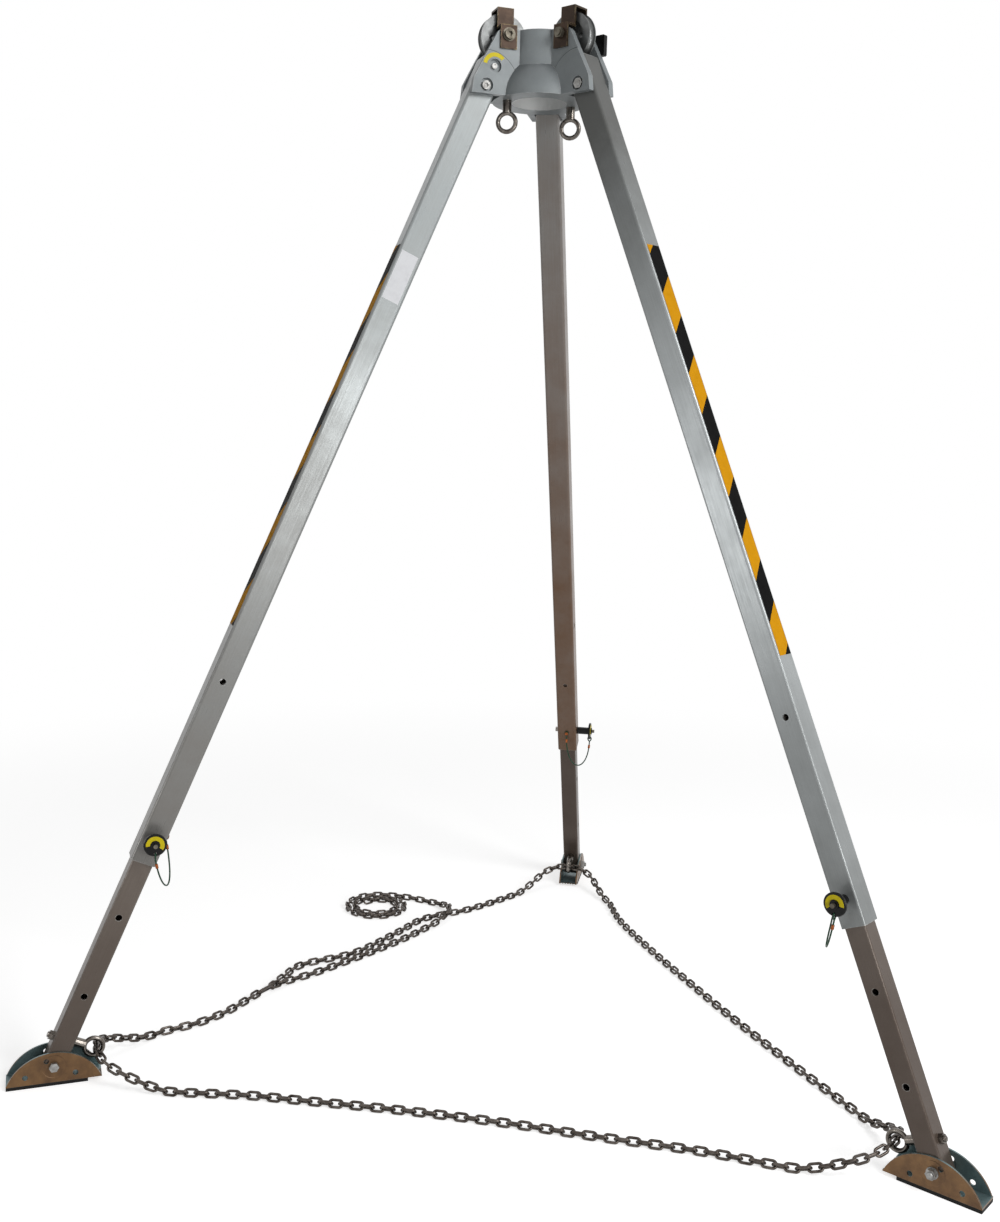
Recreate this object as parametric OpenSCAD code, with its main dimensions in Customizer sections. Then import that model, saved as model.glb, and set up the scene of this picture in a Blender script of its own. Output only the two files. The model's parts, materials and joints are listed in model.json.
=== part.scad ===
// Rescue tripod: a cast head on three telescopic legs with swivelling feet and a floor chain.
// Frame: +Z up, floor at z = 0, Z axis through the centre of the head, back leg towards +Y.

/* [Stance] */
// Angle of each open leg from the vertical, in degrees
leg_tilt = 23.66; // [20:0.01:26]
// Distance of each leg's pivot bolt from the head's centre line
pivot_r = 119; // [117:0.5:124]
// Distance from the pivot bolt to the foot bolt as the leg is set
leg_len = 1992; // [1940:1:2040]
// Height of the foot bolt above the floor
foot_bolt_h = 37; // [36:0.5:40]

/* [Leg tubes] */
// Width of the square outer tube
outer_w = 48; // [47:0.5:48]
// Wall of the outer tube
outer_wall = 3.5; // [3:0.1:3.6]
// Corner radius of the outer tube
outer_corner = 5; // [4:0.5:6]
// Length of outer tube above the pivot bolt
outer_above = 50; // [46:1:51]
// Length of outer tube below the pivot bolt
outer_below = 1581; // [1565:1:1600]
// Width of the square inner tube
inner_w = 40; // [38:0.5:40]
// Wall of the inner tube
inner_wall = 3; // [2.5:0.1:4]
// Corner radius of the inner tube
inner_corner = 4; // [3.5:0.5:5]
// Length of inner tube above the foot bolt
inner_above = 1160; // [1140:1:1200]
// Length of inner tube below the foot bolt
inner_below = 16; // [13:0.5:16]

/* [Height setting] */
// Distance between height holes
hole_pitch = 160; // [158:1:162]
// Number of height holes in the inner tube
hole_count = 7; // [7:1:7]
// Height of the lowest inner hole above the foot bolt
lowest_hole = 139.5; // [132:0.5:145]
// Which inner hole, counted from the lowest, holds the pin
set_hole = 2; // [2:1:2]
// Radius of the lock pin's shank
pin_r = 6; // [5.5:0.1:6.5]
// Radial clearance of the lock pin in its holes
pin_clear = 0.1; // [0.1:0.05:0.3]

/* [Lock pin] */
// Length of the round grip body behind the knob
grip_len = 30; // [26:1:34]
// Radius of the round grip body
grip_r = 9; // [8.5:0.5:11]
// Radius of the knob's disc
knob_r = 21; // [20:0.5:23]
// Thickness of the knob's disc
knob_t = 5; // [4:0.5:6]
// Length of pin that stands out of the far side of the tube
pin_tip = 8; // [6:0.5:10]
// Radius of the push button in the knob
button_r = 4; // [3:0.5:4.5]
// Length of push button that stands out of the knob
button_out = 9; // [7:0.5:11]
// Travel of the push button
button_travel = 3; // [2:0.5:4]
// Distance of the lanyard's hole from the pin's axis
eye_hole_at = 16; // [15:0.5:17]

/* [Head] */
// Radius of the round hub
hub_r = 66; // [64:0.5:67]
// Height of the hub and cheeks above their underside
head_h = 119; // [117:0.5:122]
// Depth of the head's underside below the pivot bolts
underside_drop = 15; // [14:0.5:17]
// Radius of the flared skirt at the underside
skirt_r = 90; // [88:0.5:90]
// Radius of the skirt's curve
skirt_curve = 80; // [78:1:84]
// Radius of the hollow under the hub
hollow_r = 52; // [48:1:54]
// Depth of the hollow under the hub
hollow_h = 46; // [30:1:48]
// Thickness of each cheek
cheek_t = 11.5; // [10.5:0.5:12]
// Running gap between a cheek and the tube or pulley beside it
cheek_gap = 0.5; // [0.3:0.1:0.6]
// Height of the raised round pad on each cheek
pad_t = 1.5; // [1:0.25:2]
// Radius of the raised round pad on each cheek
pad_r = 62; // [58:1:64]
// Radius of the recesses for the pivot bolts and release buttons
recess_r = 12.5; // [11:0.5:13]
// Depth of those recesses
recess_depth = 6; // [5:0.5:6]

/* [Release buttons] */
// Distance of each release button above the pivot bolt, along the leg
release_up = 38.5; // [36:0.5:42]
// Radius of the release button
release_r = 5; // [4:0.5:6]
// Travel of the release button
release_travel = 4; // [3:0.5:4]

/* [Pulleys] */
// Radius of the pulley's rims
pulley_r = 44.5; // [42:0.5:44.5]
// Radius at the bottom of the rope groove
groove_r = 36; // [33:0.5:37]
// Width of the pulley
pulley_w = 20; // [17:0.5:22]
// Distance of the pulley's centre above the pivot bolt, along the leg
pulley_up = 101.5; // [101:0.5:104]
// Radius of the pulley's axle
axle_r = 6; // [5:0.5:7]
// Radial clearance of turning parts on their axles
run_clear = 0.05; // [0.03:0.01:0.1]
// Width of the rope keeper's strap
strap_w = 32; // [28:1:34]
// Thickness of the rope keeper's strap
strap_t = 3.5; // [3:0.5:4]
// Gap between the pulley's rim and the rope keeper
strap_gap = 5; // [4.5:0.5:7]

/* [Eyebolts] */
// Radius of an eye, at the centre of its wire
eye_r = 17; // [16.5:0.25:18]
// Radius of an eye's wire
eye_wire = 4.25; // [4:0.25:4.5]
// Radius of an eyebolt's collar
collar_r = 8.5; // [7.5:0.5:9]
// Radius of an eyebolt's threaded shank
shank_r = 5; // [4:0.5:6]
// Distance of the head's eyebolts from its centre line
head_eye_at = 65; // [62:0.5:66]
// Drop of the head's eyes below its underside
head_eye_drop = 40; // [38:0.5:44]
// Distance of each leg's eyebolt above the foot bolt
leg_eye_up = 46; // [45:0.5:48]
// Distance of each leg's eye from the leg's centre line
leg_eye_out = 58.5; // [57:0.5:60]

/* [Feet] */
// Length of the foot channel
foot_len = 170; // [164:1:176]
// Height of the foot channel's curved sides above the floor
foot_h = 64; // [62:0.5:66]
// Thickness of the foot channel's plate
foot_t = 3.5; // [3:0.25:3.5]
// Running gap between the foot channel and the inner tube
foot_gap = 0.5; // [0.3:0.1:0.6]
// Thickness of the rubber pad
pad_h = 6.5; // [5:0.5:7]
// Distance from the toe's tip to the end of the rubber pad
pad_short = 25; // [20:1:30]
// Number of teeth on the toe
tooth_count = 6; // [5:1:8]
// Length of the teeth
tooth_len = 6; // [4:0.5:8]
// Radius of the foot bolt
foot_bolt_r = 5; // [4.5:0.5:6]
// Radius of the stake holes in the foot's sides
stake_r = 5; // [4:0.5:5.5]

/* [Tape and labels] */
// Thickness of the tape and the labels
tape_t = 0.3; // [0.2:0.05:0.5]
// Width of the tape on each leg
tape_w = 38; // [34:0.5:38]
// Distance from the pivot bolt to the tape's upper end
tape_from = 333; // [320:1:345]
// Length of the tape
tape_len = 776; // [760:1:790]

/* [Lanyards] */
// Radius of the coated wire
wire_r = 1.5; // [1.2:0.1:1.6]
// Depth to which the wire hangs under its upper ends
wire_sag = 62; // [55:1:70]
// Radius of a crimped ferrule
ferrule_r = 2.8; // [2.6:0.1:3]
// Length of a crimped ferrule
ferrule_len = 9; // [7:0.5:10]

/* [Chain] */
// Radius of the chain's wire
link_wire = 2.5; // [2.4:0.05:2.6]
// Distance between the centres of neighbouring links
link_pitch = 19.5; // [19.4:0.1:19.6]
// Gap between neighbouring links
link_gap = 0.95; // [0.8:0.05:1.1]
// Half of a link's width, between the centres of its two sides
link_half = 6.4; // [6.3:0.1:6.6]

/* [Hidden] */
$fn = 48;

// Leg directions seen from above, and the side of each leg that its pin is pushed in from
LEFT = 0;
RIGHT = 1;
BACK = 2;
LEGS = [LEFT, RIGHT, BACK];
PULLEY_LEGS = [LEFT, RIGHT];
leg_az = [210, 330, 90];
pin_side = [1, -1, -1];

silver = [0.66, 0.68, 0.69];
cast_grey = [0.60, 0.63, 0.64];
steel = [0.72, 0.72, 0.70];
zinc = [0.55, 0.47, 0.32];
black = [0.06, 0.06, 0.06];
yellow = [0.93, 0.80, 0.10];
green = [0.05, 0.32, 0.20];
copper = [0.62, 0.36, 0.20];

// Head heights
pivot_z = leg_len * cos(leg_tilt) + foot_bolt_h;
head_z0 = pivot_z - underside_drop;
head_z1 = head_z0 + head_h;
cheek_in = outer_w / 2 + cheek_gap;
cheek_out = cheek_in + cheek_t;
face_out = cheek_out + pad_t;
seat = face_out - recess_depth;
pulley_at_r = pivot_r - pulley_up * sin(leg_tilt);
pulley_at_z = pivot_z + pulley_up * cos(leg_tilt);
slot_z = pulley_at_z - pulley_r - 4;
release_at = [pivot_r - release_up * sin(leg_tilt), pivot_z + release_up * cos(leg_tilt)];
head_eye_az = [210, 30];
rim_clear = 0.3;

// Leg stations, measured down the leg from the pivot bolt
foot_at = leg_len;
inner_top = leg_len - inner_above;
pin_at = leg_len - lowest_hole - set_hole * hole_pitch;
spare_at = pin_at - 2 * hole_pitch;
leg_eye_at = leg_len - leg_eye_up;
rivet_at = pin_at - 7;
rivet_hole_r = 2.5;
outer_half = outer_w / 2;
inner_half = inner_w / 2;
knob_in = outer_half + rim_clear + grip_len;
knob_out = knob_in + knob_t;
knob_edge = 1.2;
label_half_len = 48;

// Foot outline, in the foot's own frame under the bolt
foot_in = inner_half + foot_gap;
foot_out = foot_in + foot_t;
side_h = foot_h - pad_h;
side_r = (foot_len * foot_len / 4 + side_h * side_h) / (2 * side_h);
foot_r = pivot_r + leg_len * sin(leg_tilt);
heel_hole = [51, 21.5];
toe_hole = [-38, 20.5];
third_hole = [13, 48.5];

// Chain sizes and the height of its centre line where it lies on the floor
lie_h = link_half * sin(45) + link_wire + 0.6;
leg_eye_r = foot_r - leg_eye_up * sin(leg_tilt) - leg_eye_out * cos(leg_tilt);
leg_eye_z = foot_bolt_h + leg_eye_up * cos(leg_tilt) - leg_eye_out * sin(leg_tilt);
link_up = 45 + leg_tilt;
thread_room = eye_r - eye_wire - link_wire - rim_clear;
thread_off = sqrt(pow(thread_room, 2) - pow(link_half * sin(link_up), 2)) - link_half * cos(link_up);

// Frames of reference
module at_az(i) rotate([0, 0, leg_az[i]]) children();
module at_leg(i) at_az(i) translate([pivot_r, 0, pivot_z]) rotate([0, -leg_tilt, 0]) children();
module at_foot(i) at_az(i) translate([foot_r, 0, 0]) children();
// A cylinder across the leg, from y0 to y1
module across(r, y0, y1, fn = $fn) translate([0, y1, 0]) rotate([90, 0, 0])
    cylinder(r = r, h = y1 - y0, $fn = fn);
module hexagon(r, y0, y1) across(r, y0, y1, 6);
// A square bar with rounded edges, hanging down from z0 to z1
module rounded_bar(w, r, z0, z1)
    translate([0, 0, -z1]) linear_extrude(z1 - z0) {
        square([w, w - 2 * r], center = true);
        square([w - 2 * r, w], center = true);
        for (x = [-1, 1], y = [-1, 1])
            translate([x * (w / 2 - r), y * (w / 2 - r)]) circle(r);
    }
module torus(major, minor) rotate_extrude() translate([major, 0]) circle(minor);

// Head
// Outline of a cheek: sloping outer edge, rounded top corner
function arc(c, r, a0, a1, n) = [for (k = [0 : n]) let (a = a0 + (a1 - a0) * k / n)
    c + r * [cos(a), sin(a)]];
cheek_foot = 28.5;
cheek_nose = 3;
cheek_corner_r = 17;
cheek_corner = [pivot_r - 34, head_h - cheek_corner_r];
module cheek_outline()
    polygon(concat(
        [[20, 0], [pivot_r + cheek_foot, 0], [pivot_r + cheek_foot - cheek_nose, underside_drop + 11]],
        arc(cheek_corner, cheek_corner_r, 23, 90, 6),
        [[20, head_h]]));
module cheek(y0, t) translate([0, y0 + t, head_z0]) rotate([90, 0, 0]) linear_extrude(t) cheek_outline();
module cheek_pair() {
    for (s = [0, 1]) mirror([0, s, 0]) {
        cheek(cheek_in, cheek_t);
        intersection() {
            cheek(cheek_out, pad_t);
            translate([pivot_r, 0, pivot_z]) across(pad_r, cheek_out - 1, face_out + 1);
        }
    }
}
module skirt()
    translate([0, 0, head_z0]) rotate_extrude() intersection() {
        translate([skirt_r - skirt_curve, 0]) circle(skirt_curve);
        square([skirt_r, skirt_curve]);
    }
module head_casting() color(cast_grey) difference() {
    union() {
        translate([0, 0, head_z0]) cylinder(r = hub_r, h = head_h);
        intersection() {
            skirt();
            translate([0, 0, head_z0]) cylinder(r = skirt_r + 1, h = head_h / 2);
        }
        for (i = LEGS) at_az(i) cheek_pair();
    }
    translate([0, 0, head_z0 - 1]) cylinder(r = hollow_r, h = hollow_h + 1);
    for (i = LEGS) at_az(i) {
        translate([skirt_r + 0.5, -cheek_in, head_z0 - 1]) cube([100, 2 * cheek_in, head_h + 2]);
        translate([pivot_r, 0, pivot_z]) across(pivot_bolt_r + 0.02, -60, 60);
        for (s = [0, 1]) mirror([0, s, 0]) translate([pivot_r, 0, pivot_z]) across(recess_r, seat, 60);
        translate([release_at[0], 0, release_at[1]]) across(recess_r, seat, 60);
        translate([release_at[0], 0, release_at[1]]) across(release_r + run_clear, cheek_in - 1, 60);
        leg_swing_cut();
    }
    for (i = PULLEY_LEGS) at_az(i) {
        translate([pulley_at_r - pulley_r - 4, -cheek_in, slot_z]) cube([160, 2 * cheek_in, head_h]);
        translate([pulley_at_r, 0, pulley_at_z]) across(axle_r + 0.02, -60, 60);
    }
    for (a = head_eye_az)
        rotate([0, 0, a]) translate([head_eye_at, 0, head_z0 - 1]) cylinder(r = shank_r + 0.02, h = 23);
}
// Room for the tube's upper end between the cheeks, above the skirt
module leg_swing_cut()
    translate([pivot_r, 0, pivot_z]) rotate([0, -leg_tilt, 0])
        translate([-outer_half - 0.6, -cheek_in, -30]) cube([100, 2 * cheek_in, 30 + outer_above + 1]);

pivot_bolt_r = 6;
bolt_head_r = 8;
bolt_head_h = 6;
module leg_pivot_bolts() color(steel) for (i = LEGS) at_az(i) translate([pivot_r, 0, pivot_z]) {
    difference() {
        union() {
            across(pivot_bolt_r, -seat - bolt_head_h, seat + 0.01);
            across(bolt_head_r, seat, seat + bolt_head_h - 0.5);
        }
        hexagon(4, seat + 2.5, seat + bolt_head_h);
    }
    difference() {
        hexagon(10, -seat - bolt_head_h + 1, -seat);
        across(pivot_bolt_r + 0.02, -seat - bolt_head_h, -seat + 1);
    }
}

release_tip = cheek_in + release_travel + 0.1;
module release_button(i) color(steel) at_az(i) translate([release_at[0], 0, release_at[1]])
    difference() {
        across(release_r, release_tip, seat + release_travel);
        across(release_r - 2, seat + release_travel - 1, seat + release_travel + 1);
    }

// Arc-shaped label, flat, from angle a0 to a1
module arc_label(r0, r1, a0, a1, t)
    linear_extrude(t) polygon(concat(arc([0, 0], r1, a0, a1, 16), arc([0, 0], r0, a1, a0, 16)));
module release_labels() color(yellow) for (i = LEGS) at_az(i)
    translate([release_at[0], face_out + tape_t, release_at[1]]) rotate([90, 0, 0])
        arc_label(recess_r + 3.5, recess_r + 11, 10, 140, tape_t);

// Pulleys and rope keepers
hub_face = cheek_in - 0.3;
module pulley(i) color(steel) at_az(i) translate([pulley_at_r, 0, pulley_at_z]) rotate([90, 0, 0])
    difference() {
        rotate_extrude() difference() {
            union() {
                translate([axle_r + run_clear, -pulley_w / 2])
                    square([pulley_r - axle_r - run_clear, pulley_w]);
                translate([axle_r + run_clear, -hub_face]) square([6, 2 * hub_face]);
            }
            translate([groove_r + 8, 0]) circle(8);
            for (s = [-1, 1]) translate([14, s > 0 ? pulley_w / 2 - 4 : -pulley_w / 2 - 1]) square([15, 5]);
        }
        for (k = [0 : 4]) rotate([0, 0, 72 * k]) translate([22, 0, -pulley_w])
            cylinder(r = 4.5, h = 2 * pulley_w);
    }
module pulley_axles() color(steel) for (i = PULLEY_LEGS) at_az(i) translate([pulley_at_r, 0, pulley_at_z]) {
    across(axle_r, -strap_out - 10, strap_out + 3);
    difference() {
        across(12, strap_out, strap_out + 2);
        across(axle_r + 0.02, strap_out - 1, strap_out + 4);
    }
    difference() {
        across(9.5, strap_out + 2, strap_out + 8);
        hexagon(4.6, strap_out + 4, strap_out + 9);
        across(axle_r, strap_out, strap_out + 3.02);
    }
    difference() {
        hexagon(10, -strap_out - 8, -strap_out);
        across(axle_r + 0.02, -strap_out - 9, -strap_out + 1);
    }
}
strap_low = -25;
strap_in = cheek_out;
strap_out = strap_in + strap_t;
strap_step_z = head_z1 - pulley_at_z + 3;
strap_neck = pulley_w / 2 + 5;
strap_top = pulley_r + strap_gap;
// Half of the keeper's bent strap, seen along the rope
module half_strap()
    polygon([[0, strap_top], [strap_neck, strap_top], [strap_neck, strap_step_z], [strap_in, strap_step_z],
        [strap_in, strap_low], [strap_out, strap_low], [strap_out, strap_step_z + strap_t],
        [strap_neck + strap_t, strap_step_z + strap_t], [strap_neck + strap_t, strap_top + strap_t],
        [0, strap_top + strap_t]]);
module rope_keepers() color(zinc) for (i = PULLEY_LEGS) at_az(i) translate([pulley_at_r, 0, pulley_at_z])
    difference() {
        for (s = [0, 1]) mirror([0, s, 0]) rotate([90, 0, 90])
            translate([0, 0, -strap_w / 2]) linear_extrude(strap_w) half_strap();
        across(axle_r + 0.02, -60, 60);
    }

// Black guide at the upper outer corner of the right leg's far cheek
guide_w = 26;
guide_h = 38;
guide_t = 9;
module cable_guide() color(black) at_az(RIGHT)
    translate([pivot_r - 22, cheek_out, head_z1 - 41]) {
        translate([3, 0, 0]) cube([guide_w - 6, guide_t, guide_h]);
        translate([0, 0, 3]) cube([guide_w, guide_t, guide_h - 6]);
        for (x = [3, guide_w - 3], z = [3, guide_h - 3])
            translate([x, guide_t, z]) rotate([90, 0, 0]) cylinder(r = 3, h = guide_t);
    }

// Eyebolts: ring, collar and threaded shank, pointing up, with the ring's centre at the origin
module eyebolt(collar_top, shank_top) {
    rotate([90, 0, 0]) torus(eye_r, eye_wire);
    translate([0, 0, eye_r]) cylinder(r = collar_r, h = collar_top - eye_r);
    translate([0, 0, collar_top]) cylinder(r = shank_r, h = shank_top - collar_top);
}
module head_eyebolts() color(steel) for (a = head_eye_az) rotate([0, 0, a])
    translate([head_eye_at, 0, head_z0 - head_eye_drop]) rotate([0, 0, -a])
        eyebolt(head_eye_drop, head_eye_drop + 20);
module leg_eyebolt(i) color(steel) at_leg(i) translate([-leg_eye_out, 0, -leg_eye_at]) rotate([0, 90, 0]) {
    eyebolt(leg_eye_out - inner_half, leg_eye_out + inner_half + 11);
    difference() {
        translate([0, 0, leg_eye_out + inner_half]) cylinder(r = 9, h = 8, $fn = 6);
        translate([0, 0, leg_eye_out]) cylinder(r = shank_r + 0.02, h = 60);
    }
}

// Leg tubes
module outer_tube(i) color(silver) at_leg(i) difference() {
    rounded_bar(outer_w, outer_corner, -outer_above, outer_below);
    rounded_bar(outer_w - 2 * outer_wall, outer_corner - 2, -outer_above - 1, outer_below + 1);
    across(pivot_bolt_r + run_clear, -outer_w, outer_w);
    for (z = [pin_at, spare_at]) translate([0, 0, -z]) across(pin_r + pin_clear, -outer_w, outer_w);
    translate([-outer_half, 0, -rivet_at]) rotate([0, 90, 0])
        cylinder(r = rivet_hole_r, h = 12, center = true);
    translate([-outer_half, 0, -rivet_at + 148]) rotate([0, 90, 0]) cylinder(r = 5, h = 12, center = true);
}
module inner_tube(i) color(silver) at_leg(i) difference() {
    rounded_bar(inner_w, inner_corner, inner_top, foot_at + inner_below);
    rounded_bar(inner_w - 2 * inner_wall, inner_corner - 1.5, inner_top - 1, foot_at + inner_below + 1);
    for (k = [0 : hole_count - 1])
        translate([0, 0, -(foot_at - lowest_hole - k * hole_pitch)])
            across(pin_r + pin_clear, -inner_w, inner_w);
    translate([0, 0, -foot_at]) across(foot_bolt_r + run_clear, -inner_w, inner_w);
    translate([0, 0, -leg_eye_at]) rotate([0, 90, 0])
        cylinder(r = shank_r + 0.02, h = 2 * inner_w, center = true);
}
module hazard_tape(i) color(yellow) at_leg(i)
    translate([outer_half, -tape_w / 2, -tape_from - tape_len]) cube([tape_t, tape_w, tape_len]);
module blank_label_left() color([0.85, 0.86, 0.86]) at_leg(LEFT)
    translate([-16, outer_half, -390 - label_half_len]) cube([34, tape_t, 2 * label_half_len]);

// Lock pins, drawn along +Y and turned to the side they are pushed in from
module on_pin_side(i) at_leg(i) mirror([0, pin_side[i] < 0 ? 1 : 0, 0]) translate([0, 0, -pin_at]) children();
// World-down in the leg's frame
down = [-sin(leg_tilt), 0, -cos(leg_tilt)];
eye_hole = [eye_hole_at * down[0], 0, eye_hole_at * down[2]];
// The locking balls are drawn in, as they are while the pin moves
ball_r = 1.6;
ball_out = 0.05;
module lock_pin(i) color(steel) on_pin_side(i) {
    across(pin_r, -outer_half - pin_tip, knob_in);
    for (s = [-1, 1])
        translate([s * (pin_r + ball_out - ball_r), -outer_half - pin_tip / 2, 0]) sphere(ball_r);
}
// A disc across the leg with its two edges bevelled by c
module bevelled_disc(r, y0, y1, c) translate([0, y1, 0]) rotate([90, 0, 0]) rotate_extrude()
    polygon([[0, 0], [r - c, 0], [r, c], [r, y1 - y0 - c], [r - c, y1 - y0], [0, y1 - y0]]);
module pin_knob(i) color(black) on_pin_side(i) difference() {
    union() {
        across(grip_r, outer_half + rim_clear, knob_in);
        bevelled_disc(knob_r, knob_in, knob_out, knob_edge);
        across(button_r + 4, knob_out - 0.01, knob_out + 3);
    }
    across(pin_r + 0.02, 0, knob_in);
    across(button_r + run_clear, knob_in - 0.01, knob_out + 10);
    translate(eye_hole) across(3, knob_in - 5, knob_out + 5);
}
module pin_label(i) color(yellow) on_pin_side(i) translate([0, knob_out + tape_t, 0]) rotate([90, 0, 0])
    arc_label(button_r + 5, knob_r - 4, -29, 191, tape_t);
module pin_button(i) color(steel) on_pin_side(i)
    across(button_r, knob_in + button_travel + 0.1, knob_out + button_out);

// Lanyards: coated wire from the knob's hole to a rivet on the leg's inner face
ring_r = 5;
rivet_gap = 2.2;
knob_eye = [eye_hole[0] + ring_r * down[0], knob_out - knob_t / 2, eye_hole[2] + ring_r * down[2]];
rivet_eye = [-outer_half - rivet_gap, 0, pin_at - rivet_at];
wire_from = knob_eye + (ring_r + 1) * down;
wire_to = rivet_eye + [-0.4, 0, 0] + (ring_r + 1) * [0, 0, -1];
wire_steps = 28;
function ease(u) = u * u * (3 - 2 * u);
function wire_point(u) = wire_from + ease(u) * (wire_to - wire_from) + 4 * u * (1 - u) * wire_sag * down
    + [-14 * sin(180 * u), 0, 0];
wire_path = [for (k = [0 : wire_steps]) wire_point(k / wire_steps)];
function unit(v) = v / norm(v);
// A tube of n sides swept along a list of points
module tube_along(path, r, n) {
    last = len(path) - 1;
    tangent = [for (k = [0 : last]) unit(path[min(k + 1, last)] - path[max(k - 1, 0)])];
    side = [for (t = tangent) unit(cross(t, [0.3, 0.2, 0.9] + 0.5 * [t[2], 0, -t[0]]))];
    points = [for (k = [0 : last], a = [0 : n - 1])
        path[k] + r * (cos(360 * a / n) * side[k] + sin(360 * a / n) * cross(tangent[k], side[k]))];
    walls = [for (k = [0 : last - 1], a = [0 : n - 1])
        [k * n + a, k * n + (a + 1) % n, (k + 1) * n + (a + 1) % n, (k + 1) * n + a]];
    ends = [[for (a = [n - 1 : -1 : 0]) a], [for (a = [0 : n - 1]) last * n + a]];
    polyhedron(points, [for (f = concat(walls, ends)) [for (k = [len(f) - 1 : -1 : 0]) f[k]]], convexity = 4);
}
module lanyard(i) color(green) on_pin_side(i) {
    tube_along(wire_path, wire_r, 8);
    translate(knob_eye) rotate([0, leg_tilt, 0]) rotate([0, 90, 0]) torus(ring_r, wire_r);
    translate(rivet_eye) rotate([0, 90, 0]) torus(ring_r - 0.5, wire_r);
}
// A crimped ferrule round the wire, from point a towards point b
module crimp(a, b) {
    d = unit(b - a);
    translate(a) rotate([0, acos(d[2]), atan2(d[1], d[0])]) difference() {
        cylinder(r = ferrule_r, h = ferrule_len);
        translate([0, 0, -1]) cylinder(r = wire_r + 0.35, h = ferrule_len + 2);
    }
}
module lanyard_crimps(i) color(copper) on_pin_side(i) {
    crimp(wire_path[1], wire_path[2]);
    crimp(wire_path[wire_steps - 1], wire_path[wire_steps - 2]);
    translate([-outer_half, 0, pin_at - rivet_at]) rotate([0, -90, 0]) {
        translate([0, 0, -outer_wall]) cylinder(r = rivet_hole_r - 0.05, h = outer_wall + 4);
        translate([0, 0, 4]) cylinder(r = 4.5, h = 1.6);
    }
}

// Feet
// A curved side that rises from the middle of the floor plate's thickness
module foot_side(y0)
    translate([0, y0 + foot_t, pad_h]) rotate([90, 0, 0]) linear_extrude(foot_t) intersection() {
        translate([0, side_h - side_r]) circle(side_r, $fn = 96);
        translate([-foot_len, foot_t / 2]) square([2 * foot_len, foot_h]);
    }
module foot_channel(i) color(zinc) at_foot(i) difference() {
    union() {
        for (s = [0, 1]) mirror([0, s, 0]) foot_side(foot_in);
        translate([-foot_len / 2, -foot_out, pad_h]) cube([foot_len, 2 * foot_out, foot_t]);
    }
    tooth_w = 2 * foot_in / tooth_count;
    for (k = [0 : tooth_count - 1]) translate([-foot_len / 2, -foot_in + (k + 0.5) * tooth_w, pad_h - 1])
        linear_extrude(foot_t + 2) polygon([[-1, -tooth_w / 2], [tooth_len, 0], [-1, tooth_w / 2]]);
    translate([0, 0, foot_bolt_h]) across(foot_bolt_r + run_clear, -60, 60);
    for (h = [heel_hole, toe_hole, third_hole]) translate([h[0], 0, h[1]]) across(stake_r, -60, 60);
}
module foot_pad(i) color(black) at_foot(i)
    translate([-foot_len / 2 + pad_short, -foot_out, 0]) cube([foot_len - pad_short, 2 * foot_out, pad_h]);
module foot_bolt(i) color(steel) at_foot(i) translate([0, 0, foot_bolt_h]) {
    across(foot_bolt_r, -foot_out - 14, foot_out + 0.01);
    hexagon(9.2, foot_out, foot_out + 6.5);
    difference() {
        union() {
            across(10.5, -foot_out - 2, -foot_out);
            hexagon(9.2, -foot_out - 10, -foot_out - 2);
        }
        across(foot_bolt_r + 0.02, -foot_out - 11, -foot_out + 1);
    }
}

// Chain
// An oval ring along X, lying in the XY plane
module oval(inner, half, wire) {
    straight = inner / 2 + wire - half;
    for (s = [0, 1]) mirror([s, 0, 0]) translate([straight, 0, 0])
        rotate([0, 0, -90]) rotate_extrude(angle = 180) translate([half, 0]) circle(wire);
    for (s = [-1, 1]) translate([-straight, s * half, 0]) rotate([0, 90, 0])
        cylinder(r = wire, h = 2 * straight);
}
// Put a ring between points a and b, rolled about the line that joins them
module between(a, b, roll) {
    d = unit(b - a);
    translate((a + b) / 2) rotate([0, -asin(d[2]), atan2(d[1], d[0])]) rotate([roll, 0, 0]) children();
}
// Smooth curve through hand-chosen points, with n steps between neighbours
function spline(p, n) = concat([for (k = [0 : len(p) - 2], j = [0 : n - 1])
    let (a = p[max(k - 1, 0)], b = p[k], c = p[k + 1], d = p[min(k + 2, len(p) - 1)], u = j / n)
    0.5 * (2 * b + u * (c - a) + u * u * (2 * a - 5 * b + 4 * c - d) + u * u * u * (3 * b - a - 3 * c + d))],
    [p[len(p) - 1]]);
function lengths(p, k = 0, s = 0) = k == len(p) - 1 ? [s]
    : concat([s], lengths(p, k + 1, s + norm(p[k + 1] - p[k])));
function place(p, s, at, k = 0) = k >= len(p) - 2 || s[k + 1] >= at
    ? p[k] + (at - s[k]) / (s[k + 1] - s[k]) * (p[k + 1] - p[k]) : place(p, s, at, k + 1);
// Links at an even pitch along a route, each turned a quarter turn from the last;
// an odd number of them ends the way it began. The few at the middle of a span lie on the floor
floor_links = 2;
module links(route, odd, turn, part = "all") {
    path = spline(route, 8);
    s = lengths(path);
    total = s[len(s) - 1];
    count = odd ? 2 * round((total / link_pitch - 1) / 2) + 1 : round(total / link_pitch);
    step = total / count;
    for (k = [0 : count - 1]) {
        near = abs(k - floor(count / 2)) <= floor_links;
        if (part == "all" || (part == "middle") == near)
            between(place(path, s, k * step), place(path, s, (k + 1) * step), 45 + 90 * ((k + turn) % 2))
                oval(step + link_gap, link_half, link_wire);
    }
}
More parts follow.
